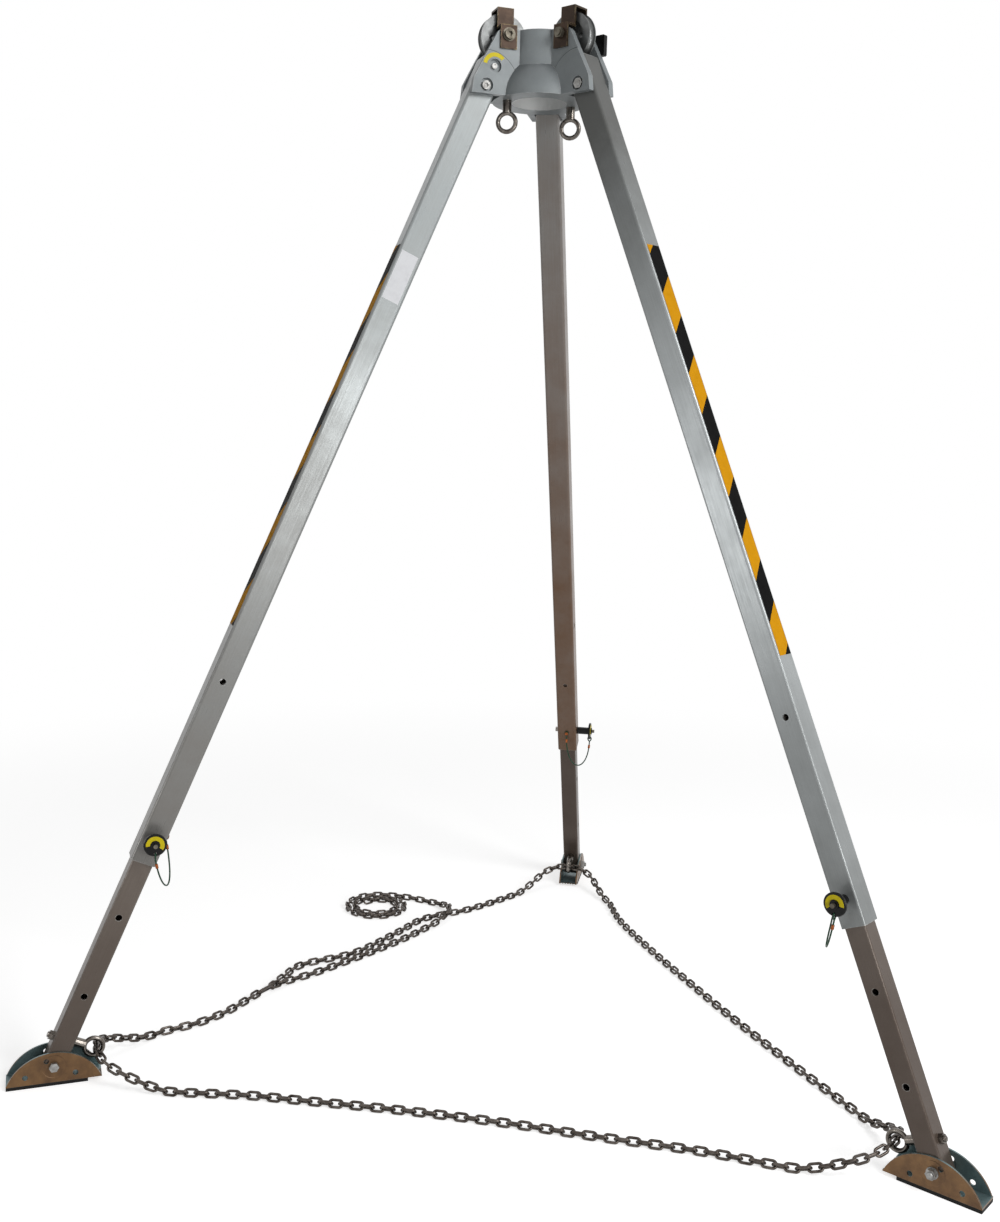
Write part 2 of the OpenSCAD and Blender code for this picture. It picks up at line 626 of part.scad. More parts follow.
// Where the chain passes through a leg's eye, low in the ring and towards the head
eye_pass_r = leg_eye_r - thread_off * cos(leg_tilt);
eye_pass_z = leg_eye_z - thread_off * sin(leg_tilt);
function out_of(i) = [cos(leg_az[i]), sin(leg_az[i]), 0];
function along(i) = [-sin(leg_az[i]), cos(leg_az[i]), 0];
function eye_pass(i) = eye_pass_r * out_of(i) + [0, 0, eye_pass_z];
function at_height(p, z) = [p[0], p[1], z];
// The way from an eye down to the floor: a sixth of a turn in towards the next eye, then straight
bend_r = 72;
bend_drop = [0, 2, 7, 13, 20];
run_out = [28, 56, 84, 112];
run_drop = [30, 39, 44.5];
function bend_point(i, s, k) = eye_pass(i) + s * (link_pitch / 2 + bend_r * sin(15 * k)) * along(i)
    - bend_r * (1 - cos(15 * k)) * out_of(i) - [0, 0, bend_drop[k]];
function run_point(i, s, k) = let (way = s * cos(60) * along(i) - sin(60) * out_of(i),
        p = bend_point(i, s, 4) + run_out[k] * way)
    at_height(p, k < 3 ? eye_pass_z - run_drop[k] : lie_h);
function leave(i, s) = concat([for (k = [0 : 4]) bend_point(i, s, k)],
    [for (k = [0 : 3]) run_point(i, s, k)]);
function reach(i, s) = let (p = leave(i, s)) [for (k = [len(p) - 1 : -1 : 0]) p[k]];
function on_floor(p) = [for (q = p) [q[0], q[1], lie_h]];
module eye_link(i)
    between(eye_pass(i) - along(i) * link_pitch / 2, eye_pass(i) + along(i) * link_pitch / 2, 45)
        oval(link_pitch + link_gap, link_half, link_wire);

// The hook joins the chain's front end to a link of the left span, and the surplus hangs on the same end
hook_az = 70;
hook_pitch = 44;
hook_half = 10;
hook_wire = 3;
hook_lie = hook_half * sin(45) + hook_wire + 0.4;
hook_dir = [cos(hook_az), sin(hook_az), 0];
hook_roll_dir = [sin(hook_az), -cos(hook_az), 1] * sin(45);
hook_back = [-540, 12, hook_lie];
hook_front = hook_back - hook_pitch * hook_dir;
beside = 3.2;
set_in = 1.3;
span_end = hook_back - beside * hook_roll_dir - set_in * hook_dir;
tail_start = hook_back + beside * hook_roll_dir - set_in * hook_dir;

front_floor = [[-420, -446], [-319, -441], [-132, -433], [52, -433], [231, -442], [405, -448]];
right_floor = [[585, -108], [458, 87], [356, 254], [256, 424], [168, 590]];
left_floor = [[-219, 580], [-314, 490], [-354, 390], [-420, 240], [-515, 145], [-534, 72]];
hook_floor = [[-590, -130], [-625, -190]];
front_route = concat(leave(LEFT, 1), on_floor(front_floor), reach(RIGHT, -1));
right_route = concat(leave(RIGHT, 1), on_floor(right_floor), reach(BACK, -1));
left_route = concat(leave(BACK, 1), on_floor(left_floor), [span_end]);
hook_route = concat([hook_front, [-569, -70, lie_h + 1]], on_floor(hook_floor), reach(LEFT, -1));
module chain_front() color(steel) {
    links(front_route, true, 1, "ends");
    eye_link(LEFT);
}
module chain_right() color(steel) {
    links(right_route, true, 1, "ends");
    eye_link(RIGHT);
}
module chain_left() color(steel) {
    links(left_route, true, 1, "ends");
    links(hook_route, true, 1);
    eye_link(BACK);
}
module chain_floor() color(steel) {
    links(front_route, true, 1, "middle");
    links(right_route, true, 1, "middle");
    links(left_route, true, 1, "middle");
}
module chain_hook() color(steel)
    between(hook_back, hook_front, 45) oval(hook_pitch + link_gap, hook_half, hook_wire);

// The surplus runs beside the left span, crosses over it and ends in a flat spiral heap
heap_c = [-452, 545];
heap_r = 82;
heap_turns = 2.2;
heap_step = 17.5;
heap_from = 82;
heap_points = 23;
tail_floor = [[-470, 112], [-396, 232], [-338, 335], [-300, 420]];
tail_over = [[-276, 468, 12], [-262, 512, 22.4], [-266, 550, 21], [-288, 582, 12.5]];
tail_route = concat([tail_start, [-507, 62, lie_h + 1]], on_floor(tail_floor), tail_over,
    on_floor([[-330, 606], [-385, 622]]),
    on_floor([for (k = [0 : heap_points]) let (n = heap_turns * k / heap_points, a = heap_from + 360 * n)
        heap_c + (heap_r - heap_step * n) * [cos(a), sin(a)]]));
module chain_tail() color(steel) links(tail_route, false, 0);

head_casting();
leg_pivot_bolts();
pulley_axles();
rope_keepers();
head_eyebolts();
cable_guide();
release_labels();
pulley(LEFT);  // pulley_left
pulley(RIGHT);  // pulley_right
chain_front();
chain_right();
chain_left();
chain_floor();
chain_tail();
chain_hook();
outer_tube(LEFT);  // outer_tube_left
outer_tube(RIGHT);  // outer_tube_right
outer_tube(BACK);  // outer_tube_back
hazard_tape(LEFT);  // hazard_tape_left
hazard_tape(RIGHT);  // hazard_tape_right
hazard_tape(BACK);  // hazard_tape_back
blank_label_left();
lanyard(LEFT);  // lanyard_left
lanyard(RIGHT);  // lanyard_right
lanyard(BACK);  // lanyard_back
lanyard_crimps(LEFT);  // lanyard_crimps_left
lanyard_crimps(RIGHT);  // lanyard_crimps_right
lanyard_crimps(BACK);  // lanyard_crimps_back
inner_tube(LEFT);  // inner_tube_left
inner_tube(RIGHT);  // inner_tube_right
inner_tube(BACK);  // inner_tube_back
leg_eyebolt(LEFT);  // leg_eyebolt_left
leg_eyebolt(RIGHT);  // leg_eyebolt_right
leg_eyebolt(BACK);  // leg_eyebolt_back
foot_channel(LEFT);  // foot_channel_left
foot_channel(RIGHT);  // foot_channel_right
foot_channel(BACK);  // foot_channel_back
foot_pad(LEFT);  // foot_pad_left
foot_pad(RIGHT);  // foot_pad_right
foot_pad(BACK);  // foot_pad_back
foot_bolt(LEFT);  // foot_bolt_left
foot_bolt(RIGHT);  // foot_bolt_right
foot_bolt(BACK);  // foot_bolt_back
lock_pin(LEFT);  // lock_pin_left
lock_pin(RIGHT);  // lock_pin_right
lock_pin(BACK);  // lock_pin_back
pin_knob(LEFT);  // pin_knob_left
pin_knob(RIGHT);  // pin_knob_right
pin_knob(BACK);  // pin_knob_back
pin_label(LEFT);  // pin_label_left
pin_label(RIGHT);  // pin_label_right
pin_label(BACK);  // pin_label_back
pin_button(LEFT);  // pin_button_left
pin_button(RIGHT);  // pin_button_right
pin_button(BACK);  // pin_button_back
release_button(LEFT);  // release_button_left
release_button(RIGHT);  // release_button_right
release_button(BACK);  // release_button_back
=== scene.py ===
"""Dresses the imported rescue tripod: studio stage, coated lanyards, small turned pieces and finishes."""

import json
import math

import bpy
import numpy as np
from bpy.props import FloatProperty, FloatVectorProperty, IntProperty, PointerProperty
from mathutils import Matrix, Vector


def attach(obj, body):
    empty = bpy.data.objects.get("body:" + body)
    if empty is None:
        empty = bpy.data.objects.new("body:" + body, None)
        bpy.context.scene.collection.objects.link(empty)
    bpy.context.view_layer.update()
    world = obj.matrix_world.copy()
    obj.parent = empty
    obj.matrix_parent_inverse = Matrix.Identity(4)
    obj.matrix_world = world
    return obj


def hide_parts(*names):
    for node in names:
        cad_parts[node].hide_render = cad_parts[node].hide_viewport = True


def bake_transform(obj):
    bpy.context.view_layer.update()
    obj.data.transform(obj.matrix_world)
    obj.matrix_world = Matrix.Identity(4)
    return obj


bl_info = {
    "name": "Rescue Tripod Dressing",
    "version": (1, 0, 0),
    "blender": (4, 5, 0),
    "location": "View3D > Sidebar > Tripod",
    "description": "Stage, lanyards and finishes for a rescue tripod",
    "category": "Object",
}

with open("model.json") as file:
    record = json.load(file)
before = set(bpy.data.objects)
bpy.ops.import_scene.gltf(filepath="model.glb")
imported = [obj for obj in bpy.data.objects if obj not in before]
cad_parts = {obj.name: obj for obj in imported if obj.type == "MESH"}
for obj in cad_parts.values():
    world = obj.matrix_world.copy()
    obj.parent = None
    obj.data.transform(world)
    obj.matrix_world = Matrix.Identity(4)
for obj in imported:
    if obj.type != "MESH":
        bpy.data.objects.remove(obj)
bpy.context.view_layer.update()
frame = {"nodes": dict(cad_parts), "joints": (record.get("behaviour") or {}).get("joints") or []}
NODES = frame["nodes"]
JOINTS = {joint["name"]: joint for joint in frame["joints"]}
LEGS = ("left", "right", "back")

# Each lamp's place, the point that it faces and the length of its sides, in metres
LAMPS = {
    "key": ((3.0, -1.7, 3.2), (0.0, 0.0, 1.2), 1.6),
    "low": ((1.9, -2.6, 1.1), (-0.3, -0.2, 1.2), 0.9),
    "shine": ((-2.06, -1.6, 0.86), (0.4, -0.2, 1.1), 0.7),
    "top": ((-0.4, 0.3, 4.2), (0.0, 0.0, 0.8), 2.6),
}

# Metres down each tube where its darkening (dust, and painted shade standing in for darker reflections)
# begins and where it is thickest, and the share of painted shade beside the head
OUTER_DUST_AND_SHADE = {"left": (0.4, 1.7, 0.0), "right": (0.8, 2.0, 1.0), "back": (-0.6, 1.1, 0.0)}
INNER_DUST_AND_SHADE = {"left": (1.4, 2.0, 0.0), "right": (1.3, 1.75, 0.0), "back": (0.9, 1.4, 0.0)}

# Metres down a leg over which the painted shade beside the head thins out
HEAD_SHADE = (0.05, 0.55)

# How each metal looks apart from its colours: scale of its clouds, least and most roughness, share of metal
METALS = {
    "steel": {"name": "Polished steel", "scale": 60.0, "smooth": 0.18, "rough": 0.36, "metallic": 1.0},
    "bolt": {"name": "Bolt steel", "scale": 80.0, "smooth": 0.34, "rough": 0.5, "metallic": 0.85},
    "axle": {"name": "Axle steel", "scale": 80.0, "smooth": 0.34, "rough": 0.5, "metallic": 0.85},
    "sheave": {"name": "Pulley", "scale": 30.0, "smooth": 0.28, "rough": 0.46, "metallic": 0.75},
    "keeper": {"name": "Keeper plate", "scale": 34.0, "smooth": 0.3, "rough": 0.5, "metallic": 0.7},
    "chain": {"name": "Chain zinc", "scale": 90.0, "smooth": 0.22, "rough": 0.42, "metallic": 1.0},
    "copper": {"name": "Copper", "scale": 260.0, "smooth": 0.28, "rough": 0.5, "metallic": 1.0},
}

# How each moulding or film looks: name of its colour, least and most roughness, scale and depth of its grain
MOULDINGS = {
    "Black guide": {"tone": "black", "smooth": 0.4, "rough": 0.55, "scale": 700.0, "depth": 0.00008},
    "Black knob": {"tone": "black", "smooth": 0.22, "rough": 0.36, "scale": 700.0, "depth": 0.00008},
    "Rubber pad": {"tone": "rubber", "smooth": 0.7, "rough": 0.9, "scale": 420.0, "depth": 0.0002},
    "Arc labels": {"tone": "label", "smooth": 0.35, "rough": 0.5, "scale": 500.0, "depth": 0.00003},
    "Pin labels": {"tone": "label", "smooth": 0.35, "rough": 0.5, "scale": 500.0, "depth": 0.00003},
    "Blank label": {"tone": "plate", "smooth": 0.4, "rough": 0.55, "scale": 500.0, "depth": 0.00003},
}

# Points round each kind of new piece, and the angle past which an edge between its faces stays sharp
COLUMNS = {"wire": 14, "loop": 12, "sleeve": 28, "rivet": 32, "thread": 40}
SHARP_ANGLE = math.radians(48)

UP = np.array([0.0, 0.0, 1.0])
SIDEWAYS = np.array([0.0, 1.0, 0.0])
WHITE = (1.0, 1.0, 1.0, 1.0)
BLACK = (0.0, 0.0, 0.0, 1.0)

# Kinds of socket on the shared effects
VALUE = "NodeSocketFloat"
VECTOR = "NodeSocketVector"


# Settings


def tone(red, green, blue):
    """A colour written as 0 to 255 screen values, turned by the sRGB curve into the linear values that
    shaders use."""
    value = np.array([red, green, blue], float) / 255
    return tuple(np.where(value <= 0.04045, value / 12.92, ((value + 0.055) / 1.055) ** 2.4))


def colour(name, words, *screen):
    """A colour that a user may change."""
    return FloatVectorProperty(
        name=name, description=words, default=tone(*screen), size=3, subtype="COLOR", min=0, max=1
    )


def length(name, words, default):
    """A size in metres that a user may change."""
    return FloatProperty(name=name, description=words, default=default, unit="LENGTH", precision=4)


def angle(name, words, degrees):
    """An angle that a user may change."""
    return FloatProperty(
        name=name, description=words, default=math.radians(degrees), subtype="ANGLE", unit="ROTATION"
    )


def millimetres(name, words, default):
    """A size of the camera that a user may change."""
    return FloatProperty(name=name, description=words, default=default, unit="CAMERA")


def watts(name, words, default):
    """A lamp's power that a user may change."""
    return FloatProperty(name=name, description=words, default=default, min=0, unit="POWER")


def level(name, words, default, most=1.0):
    """A strength or share that a user may change."""
    return FloatProperty(name=name, description=words, default=default, min=0, max=most, subtype="FACTOR")


def number(name, words, default, least, most):
    """A whole number that a user may change."""
    return IntProperty(name=name, description=words, default=default, min=least, max=most)


class TripodStage(bpy.types.PropertyGroup):
    """Camera, lamps and floor."""

    camera_at: FloatVectorProperty(
        name="Camera place",
        description="Where the camera stands",
        default=(0.4323, -2.6173, 1.2380),
        subtype="TRANSLATION",
        unit="LENGTH",
    )
    camera_yaw: angle("Camera yaw", "Turn of the view from straight ahead, to the right", -10.4756)
    camera_pitch: angle("Camera pitch", "Tilt of the view, up", -7.9899)
    camera_roll: angle("Camera roll", "Roll of the camera", 1.4334)
    camera_lens: millimetres("Lens", "Focal length of the camera", 26.096)
    camera_height: millimetres("Sensor height", "Height of the camera's sensor", 24.0)
    camera_reach: length("View distance", "How far the camera sees", 200.0)
    key_power: watts("Key lamp", "Soft lamp at the right, above the head", 78)
    low_power: watts("Low lamp", "Soft lamp at the front right, at half the tripod's height", 26)
    shine_power: watts("Shine lamp", "Lamp at the left that shows in gloss alone", 8)
    top_power: watts("Top lamp", "Wide soft lamp overhead", 16)
    sky_level: level("Sky", "Light from all round", 0.2, 2.0)
    floor_white: level("Floor white", "Share of the lamps' light that the floor sends back", 0.8)
    floor_glow: level("Floor glow", "Share of the floor's white that shadow can't take", 0.64)
    floor_size: length("Floor size", "Half the side of the floor", 40.0)
    fade_from: length("Fade from", "Distance at which the floor begins to fade to white", 1.3)
    fade_to: length("Fade to", "Distance at which the floor is white", 3.4)


class TripodLeg(bpy.types.PropertyGroup):
    """Places down a leg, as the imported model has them, and the sizes that its finishes follow."""

    pin_station: length("Pin station", "From the pivot bolt down to the lock pin", 1.5325)
    eye_station: length("Eyebolt station", "From the pivot bolt down to the leg's eyebolt", 1.946)
    tape_station: length("Tape station", "From the pivot bolt down to the tape's upper end", 0.333)
    tape_length: length("Tape length", "Length of the tape", 0.776)
    tape_width: length("Tape width", "Width of the tape", 0.038)
    tape_grime: length("Tape grime", "Width of the grime along each long edge of the tape", 0.0045)
    tape_bands: number("Tape bands", "Bands of colour along the tape", 10, 2, 40)
    tape_slant: level("Tape slant", "Run of a band's edge down the leg for each unit across", 1.0, 4.0)
    press_radius: length("Pressed ring", "Inner radius of the pressed ring round a foot bolt", 0.0205)
    press_width: length("Pressed ring slope", "Width of that ring's slope", 0.002)
    press_depth: length("Pressed ring depth", "Depth of that ring", 0.0006)


class TripodHead(bpy.types.PropertyGroup):
    """Places on the head casting that its paint follows."""

    hollow_radius: length("Hollow radius", "Radius of the hollow under the hub", 0.052)
    hollow_roof: length("Hollow roof", "Height of the hollow's roof above the pivot bolts", 0.031)
    pad_radius: length("Pad radius", "Radius of the raised round pad on each cheek", 0.062)
    pad_face: length("Pad face", "From a leg's middle plane to the face of its pads", 0.0375)
    # Painted shade: the width of the dark line round each pad
    line_width: length("Line width", "Width of the dirt along the edge of a pad", 0.0024)


class TripodThread(bpy.types.PropertyGroup):
    """Threads on the bolt ends that stand free of their nuts."""

    radius: length("Radius", "Radius half way up the thread's teeth", 0.0052)
    pitch: length("Pitch", "Climb of the thread in one turn", 0.0015)
    tooth: length("Tooth", "Height of a tooth from root to crest", 0.00062)
    chamfer: length("Chamfer", "Length of the bevel at the free end", 0.0012)
    chamfer_drop: length("Chamfer drop", "How much the bevel takes off the radius", 0.0009)
    foot_start: length("Foot bolt start", "From the leg's middle plane to the foot bolt's thread", 0.0338)
    foot_span: length("Foot bolt span", "Length of the foot bolt's thread", 0.0049)
    eye_start: length("Eyebolt start", "From the leg's centre line to the eyebolt's thread", 0.0278)
    eye_span: length("Eyebolt span", "Length of the eyebolt's thread", 0.0036)


class TripodLanyard(bpy.types.PropertyGroup):
    """Coated wire between each lock pin's knob and its leg."""

    wire_radius: length("Wire radius", "Radius of the coated wire", 0.0015)
    strands: number("Strands", "Twisted strands round the wire", 6, 3, 12)
    twist: FloatProperty(name="Twist", description="Strands passed along a metre of wire", default=260.0)
    sag: length("Sag", "How far the wire hangs under its ends", 0.062)
    bow: length("Bow", "How far the wire bows inwards from the leg", 0.014)
    steps: number("Steps", "Quarters of the points along the wire", 28, 15, 40)
    knob_face: length("Knob face", "From the leg's centre line to the knob's outer face", 0.0593)
    knob_thickness: length("Knob thickness", "Thickness of the knob's disc", 0.005)
    hole_reach: length("Hole reach", "From the pin's axis to the lanyard's hole", 0.016)
    ring_radius: length("Ring radius", "Radius of the wire's loop on the knob", 0.005)
    rivet_ring: length("Rivet ring radius", "Radius of the wire's loop on the rivet", 0.0045)
    ring_gap: length("Ring gap", "From a loop's round end to the wire's end", 0.001)
    tube_half: length("Tube half width", "Half the outer tube's width", 0.024)
    rivet_gap: length("Rivet gap", "From the tube's face to the loop on the rivet", 0.0022)
    rivet_lift: length("Rivet lift", "How far the wire's end stands off that loop", 0.0004)
    rivet_rise: length("Rivet rise", "Height of the rivet above the pin, along the leg", 0.007)
    rivet_radius: length("Rivet radius", "Radius of the rivet's domed head", 0.0045)
    rivet_dome: length("Rivet dome", "Height of the rivet's dome", 0.0016)
    rivet_neck: length("Rivet neck", "From the tube's face to the underside of the dome", 0.004)
    rivet_shank: length("Rivet shank", "Radius of the rivet's shank", 0.0024)
    rivet_depth: length("Rivet depth", "How far the shank goes into the tube", 0.003)
    ferrule_radius: length("Ferrule radius", "Radius of a crimped ferrule", 0.0028)
    ferrule_length: length("Ferrule length", "Length of a crimped ferrule", 0.009)
    ferrule_point: number("Ferrule point", "Points of the wire from its end to the ferrule", 4, 2, 7)


class TripodFinish(bpy.types.PropertyGroup):
    """Colours of the finishes, some of them painted light and shade."""

    tube_pale: colour("Tube, clean", "Drawn aluminium, clean", 158, 164, 165)
    # Painted light: a lit copy of the tube colour, which makes the right leg brighter than the others
    tube_lit: colour("Tube, bright", "Drawn aluminium of the right leg, clean", 186, 191, 192)
    tube_dull: colour("Tube, handled", "Drawn aluminium, handled and dusty", 116, 110, 104)
    # Painted shade: a shaded grey copy of the tube colour for the right leg, used beside the head and down
    # the leg
    tube_shade_grey: colour("Tube, grey", "Drawn aluminium of the right leg, dull", 93, 94, 92)
    tube_brown: colour("Tube, brown", "Drawn aluminium of the back leg, dusty", 108, 81, 60)
    inner_pale: colour("Inner tube, clean", "Inner tube, clean", 126, 117, 109)
    inner_dull: colour("Inner tube, rubbed", "Inner tube, rubbed dark", 78, 66, 58)
    paint: colour("Head paint", "Silver grey paint on the casting", 147, 153, 155)
    paint_dull: colour("Head paint, dull", "The same paint where dust has settled", 118, 123, 124)
    # Painted shade: the paint made darker on faces that look up
    paint_top_shade: colour("Head paint, dusty", "The same paint on faces that look up", 94, 99, 101)
    # Painted light: near white paint in the hollow under the hub, standing in for light thrown up from the
    # floor
    paint_bounce_light: colour("Head paint, pale", "The same paint in the hollow, unrubbed", 236, 237, 236)
    # Painted shade: a dark line along the edge of a raised pad
    paint_edge_shade: colour("Head paint, line", "Dirt along the edge of a raised pad", 56, 60, 62)
    bare_edge: colour("Rubbed edge", "Metal where an edge is rubbed bright", 205, 206, 204)
    steel: colour("Polished steel", "Eyebolts, pin shanks and the feet's rubbed edges", 132, 127, 121)
    steel_dark: colour("Polished steel, dark", "Darker patches in the polish", 58, 49, 43)
    bolt: colour("Bolt", "Bolts, nuts and release buttons", 168, 168, 166)
    bolt_dark: colour("Bolt, dark", "Darker patches on the bolts", 90, 87, 84)
    axle: colour("Axle bolt", "Bolts of the pulleys and push buttons of the pins", 112, 107, 96)
    axle_dark: colour("Axle bolt, dark", "Darker patches on those bolts", 60, 55, 46)
    sheave: colour("Pulley", "Turned pulleys", 118, 120, 120)
    sheave_dark: colour("Pulley, dark", "Darker patches on the pulleys", 78, 78, 77)
    zinc: colour("Yellow zinc", "Plated foot channels", 120, 90, 58)
    zinc_brown: colour("Yellow zinc, brown", "Brown clouds in the plating", 80, 58, 40)
    zinc_teal: colour("Yellow zinc, inside", "Blue green cast inside the channel", 124, 146, 148)
    keeper: colour("Keeper", "Brown plating of the rope keepers", 62, 46, 34)
    keeper_dark: colour("Keeper, dark", "Darker clouds in that plating", 36, 27, 21)
    keeper_edge: colour("Keeper, edge", "Edges of the rope keepers, rubbed gold", 150, 134, 92)
    chain: colour("Chain", "Zinc on the chain, worn grey", 98, 92, 87)
    chain_dark: colour("Chain, dark", "Brown tarnish on the chain", 40, 32, 27)
    black: colour("Black plastic", "Knobs and guide", 12, 12, 12)
    black_worn: colour("Black plastic, rubbed", "Knobs where they are handled", 32, 32, 32)
    rubber: colour("Rubber", "Foot pads, and grime on the tape", 24, 24, 24)
    rubber_worn: colour("Rubber, dusty", "Dust on the foot pads", 58, 55, 52)
    label: colour("Yellow label", "Bare arc labels", 226, 206, 24)
    label_worn: colour("Yellow label, worn", "Bare arc labels where worn", 192, 172, 42)
    plate: colour("Pale label", "Blank label", 236, 237, 240)
    plate_worn: colour("Pale label, worn", "Blank label where worn", 214, 214, 218)
    tape: colour("Tape", "Amber bands of the tape", 214, 150, 16)
    tape_black: colour("Tape, black", "Black bands of the tape", 5, 5, 5)
    wire: colour("Coated wire", "Green coat of the lanyards", 6, 76, 42)
    wire_dark: colour("Coated wire, dark", "Strands that show through the coat", 4, 38, 26)
    copper: colour("Copper", "Ferrules and rivets", 156, 88, 48)
    copper_dark: colour("Copper, dark", "Tarnish on ferrules and rivets", 98, 54, 34)


# Frames of the legs


def unit(arrows):
    """Vectors brought to length one."""
    return arrows / np.linalg.norm(arrows, axis=-1, keepdims=True)


class LegFrame:
    """One leg at rest, from its joints: the directions out of its face, along its side, down it and level
    away from the head, the places of its two bolts, its pin and its eyebolt, and the pin's own axes."""

    def __init__(self, leg, side):
        fold, tip = JOINTS["leg_fold_" + side], JOINTS["foot_tip_" + side]
        slide, draw = JOINTS["leg_slide_" + side], JOINTS["pin_draw_" + side]
        self.along = unit(np.array(fold["axis"]))
        self.down = unit(np.array(slide["axis"]))
        self.out = np.cross(self.down, self.along)
        self.away = np.cross(self.along, UP)
        self.pivot = np.array(fold["pos_m"])
        self.foot = np.array(tip["pos_m"])
        self.pin = self.pivot + self.down * leg.pin_station
        self.eye = self.pivot + self.down * leg.eye_station
        self.pin_axes = np.array([self.out, unit(np.array(draw["axis"])), -self.down])

    def at_pin(self, points):
        """Points given about the pin, as out, sideways to the knob and up the leg, in the shared frame."""
        return self.pin + points @ self.pin_axes


def each_leg(start):
    """The names of a node that every leg has."""
    return [start + side for side in LEGS]


# Meshes from whole arrays


def ring_mesh(name, rings, close=False):
    """A skin over rings of points, as an array of ring by point by axis. Each ring closes on itself. Where
    the rows don't close, each end gets a fan to its middle point. Row and column numbers, without their
    wrap, give the UV map: across is the share of a turn, along is the distance in metres."""
    rows, columns = rings.shape[:2]
    spans = rows if close else rows - 1
    row, column = np.meshgrid(np.arange(spans), np.arange(columns), indexing="ij")
    down_row = np.stack([row, row, row + 1, row + 1], -1).reshape(-1, 4)
    over_column = np.stack([column, column + 1, column + 1, column], -1).reshape(-1, 4)
    quads = (down_row % rows) * columns + over_column % columns
    points = rings.reshape(-1, 3)
    faces = quads.tolist()
    middle = rings.mean(axis=1)
    steps = np.linalg.norm(np.diff(middle, axis=0, append=middle[:1]), axis=1)
    travel = np.concatenate([[0.0], np.cumsum(steps)])
    uv = np.stack([over_column / columns, travel[down_row]], -1).reshape(-1, 2)
    if not close:
        points = np.concatenate([points, middle[[0, -1]]])
        first = np.arange(columns)
        after = (first + 1) % columns
        head = np.full(columns, rows * columns)
        last = (rows - 1) * columns
        start_fan = np.stack([after, first, head], -1)
        end_fan = np.stack([first + last, after + last, head + 1], -1)
        faces = faces + start_fan.tolist() + end_fan.tolist()
        fan_corners = 2 * 3 * columns
        uv = np.concatenate([uv, np.full((fan_corners, 2), 0.5)])
    mesh = bpy.data.meshes.new(name)
    mesh.from_pydata(points.tolist(), [], faces)
    layer = mesh.uv_layers.new(name="UVMap")
    layer.data.foreach_set("uv", uv.astype(np.float32).ravel())
    mesh.polygons.foreach_set("use_smooth", np.ones(len(mesh.polygons), bool))
    mesh.set_sharp_from_angle(angle=SHARP_ANGLE)
    mesh.validate()
    mesh.update()
    piece = bpy.data.objects.new(name, mesh)
    bpy.context.scene.collection.objects.link(piece)
    return piece


def around(path, radius, columns, close=False):
    """Rings round a path: at each point a circle of the given radius, square to the path's direction. The
    circle's first axis is the direction in which the whole path spreads least, with its part along the path
    taken away."""
    if close:
        direction = unit(np.roll(path, -1, axis=0) - np.roll(path, 1, axis=0))
    else:
        direction = unit(np.gradient(path, axis=0))
    reference = np.linalg.svd(path - path.mean(axis=0))[2][-1]
    first = unit(reference - (direction @ reference)[:, None] * direction)
    second = np.cross(direction, first)
    turn = np.linspace(0, 2 * np.pi, columns, endpoint=False)
    circle = np.cos(turn)[None, :, None] * first[:, None] + np.sin(turn)[None, :, None] * second[:, None]
    return path[:, None] + radius * circle


def turned(start, axis, profile, columns, wave=None):
    """A lathe shape: each profile row is a distance along the axis and a radius, carried round the axis. A
    wave, if given, is a function of distance and angle that is added to the radius. The turn begins square
    to the axis of the frame that leans least along the piece: Z before Y before X where two are alike."""
    axis = unit(axis)
    least = int(np.argmin(np.abs(axis[::-1])))
    reference = np.eye(3)[::-1][least]
    first = unit(np.cross(axis, reference))
    second = np.cross(axis, first)
    turn = np.linspace(0, 2 * np.pi, columns, endpoint=False)
    reach = np.broadcast_to(profile[:, 1:2], (len(profile), columns)).copy()
    if wave is not None:
        reach += wave(profile[:, 0:1], turn[None, :])
    circle = np.cos(turn)[:, None] * first + np.sin(turn)[:, None] * second
    return start + profile[:, 0][:, None, None] * axis + reach[:, :, None] * circle[None]


# Shader building


def add(tree, kind, inputs=None, **settings):
    """A node with its settings made and its inputs set or linked."""
    node = tree.nodes.new(kind)
    for key, value in settings.items():
        setattr(node, key, value)
    for key, value in (inputs or {}).items():
        feed(tree, node.inputs[key], value)
    return node


def feed(tree, socket, value):
    """Links a socket to another, or sets it."""
    if isinstance(value, bpy.types.NodeSocket):
        tree.links.new(value, socket)
    else:
        socket.default_value = value


def maths(tree, operation, first, second=0.0, clamp=False):
    """One operation on two values, or on the first alone."""
    node = add(tree, "ShaderNodeMath", {0: first, 1: second}, operation=operation, use_clamp=clamp)
    return node.outputs[0]


def times(tree, first, second):
    """Two values multiplied."""
    return maths(tree, "MULTIPLY", first, second)


def unsigned(tree, value):
    """A value without its sign."""
    return maths(tree, "ABSOLUTE", value)


def vectors(tree, operation, first, second=(0.0, 0.0, 0.0)):
    """One operation on two vectors, or the length of the first."""
    node = add(tree, "ShaderNodeVectorMath", {0: first, 1: second}, operation=operation)
    return node.outputs["Value" if operation in {"DOT_PRODUCT", "LENGTH"} else "Vector"]


def part_along(tree, vector, axis):
    """The part of a vector that lies along an axis."""
    return vectors(tree, "DOT_PRODUCT", vector, axis)


def ramp(tree, value, low, high, start=0.0, end=1.0, smooth=False):
    """A value carried from one range to another and held at its ends."""
    node = add(
        tree,
        "ShaderNodeMapRange",
        {"Value": value, "From Min": low, "From Max": high, "To Min": start, "To Max": end},
        interpolation_type="SMOOTHSTEP" if smooth else "LINEAR",
    )
    return node.outputs["Result"]


def spread(tree, mask, start, end):
    """A mask of 0 to 1 carried to another range."""
    return ramp(tree, mask, 0.0, 1.0, start, end)


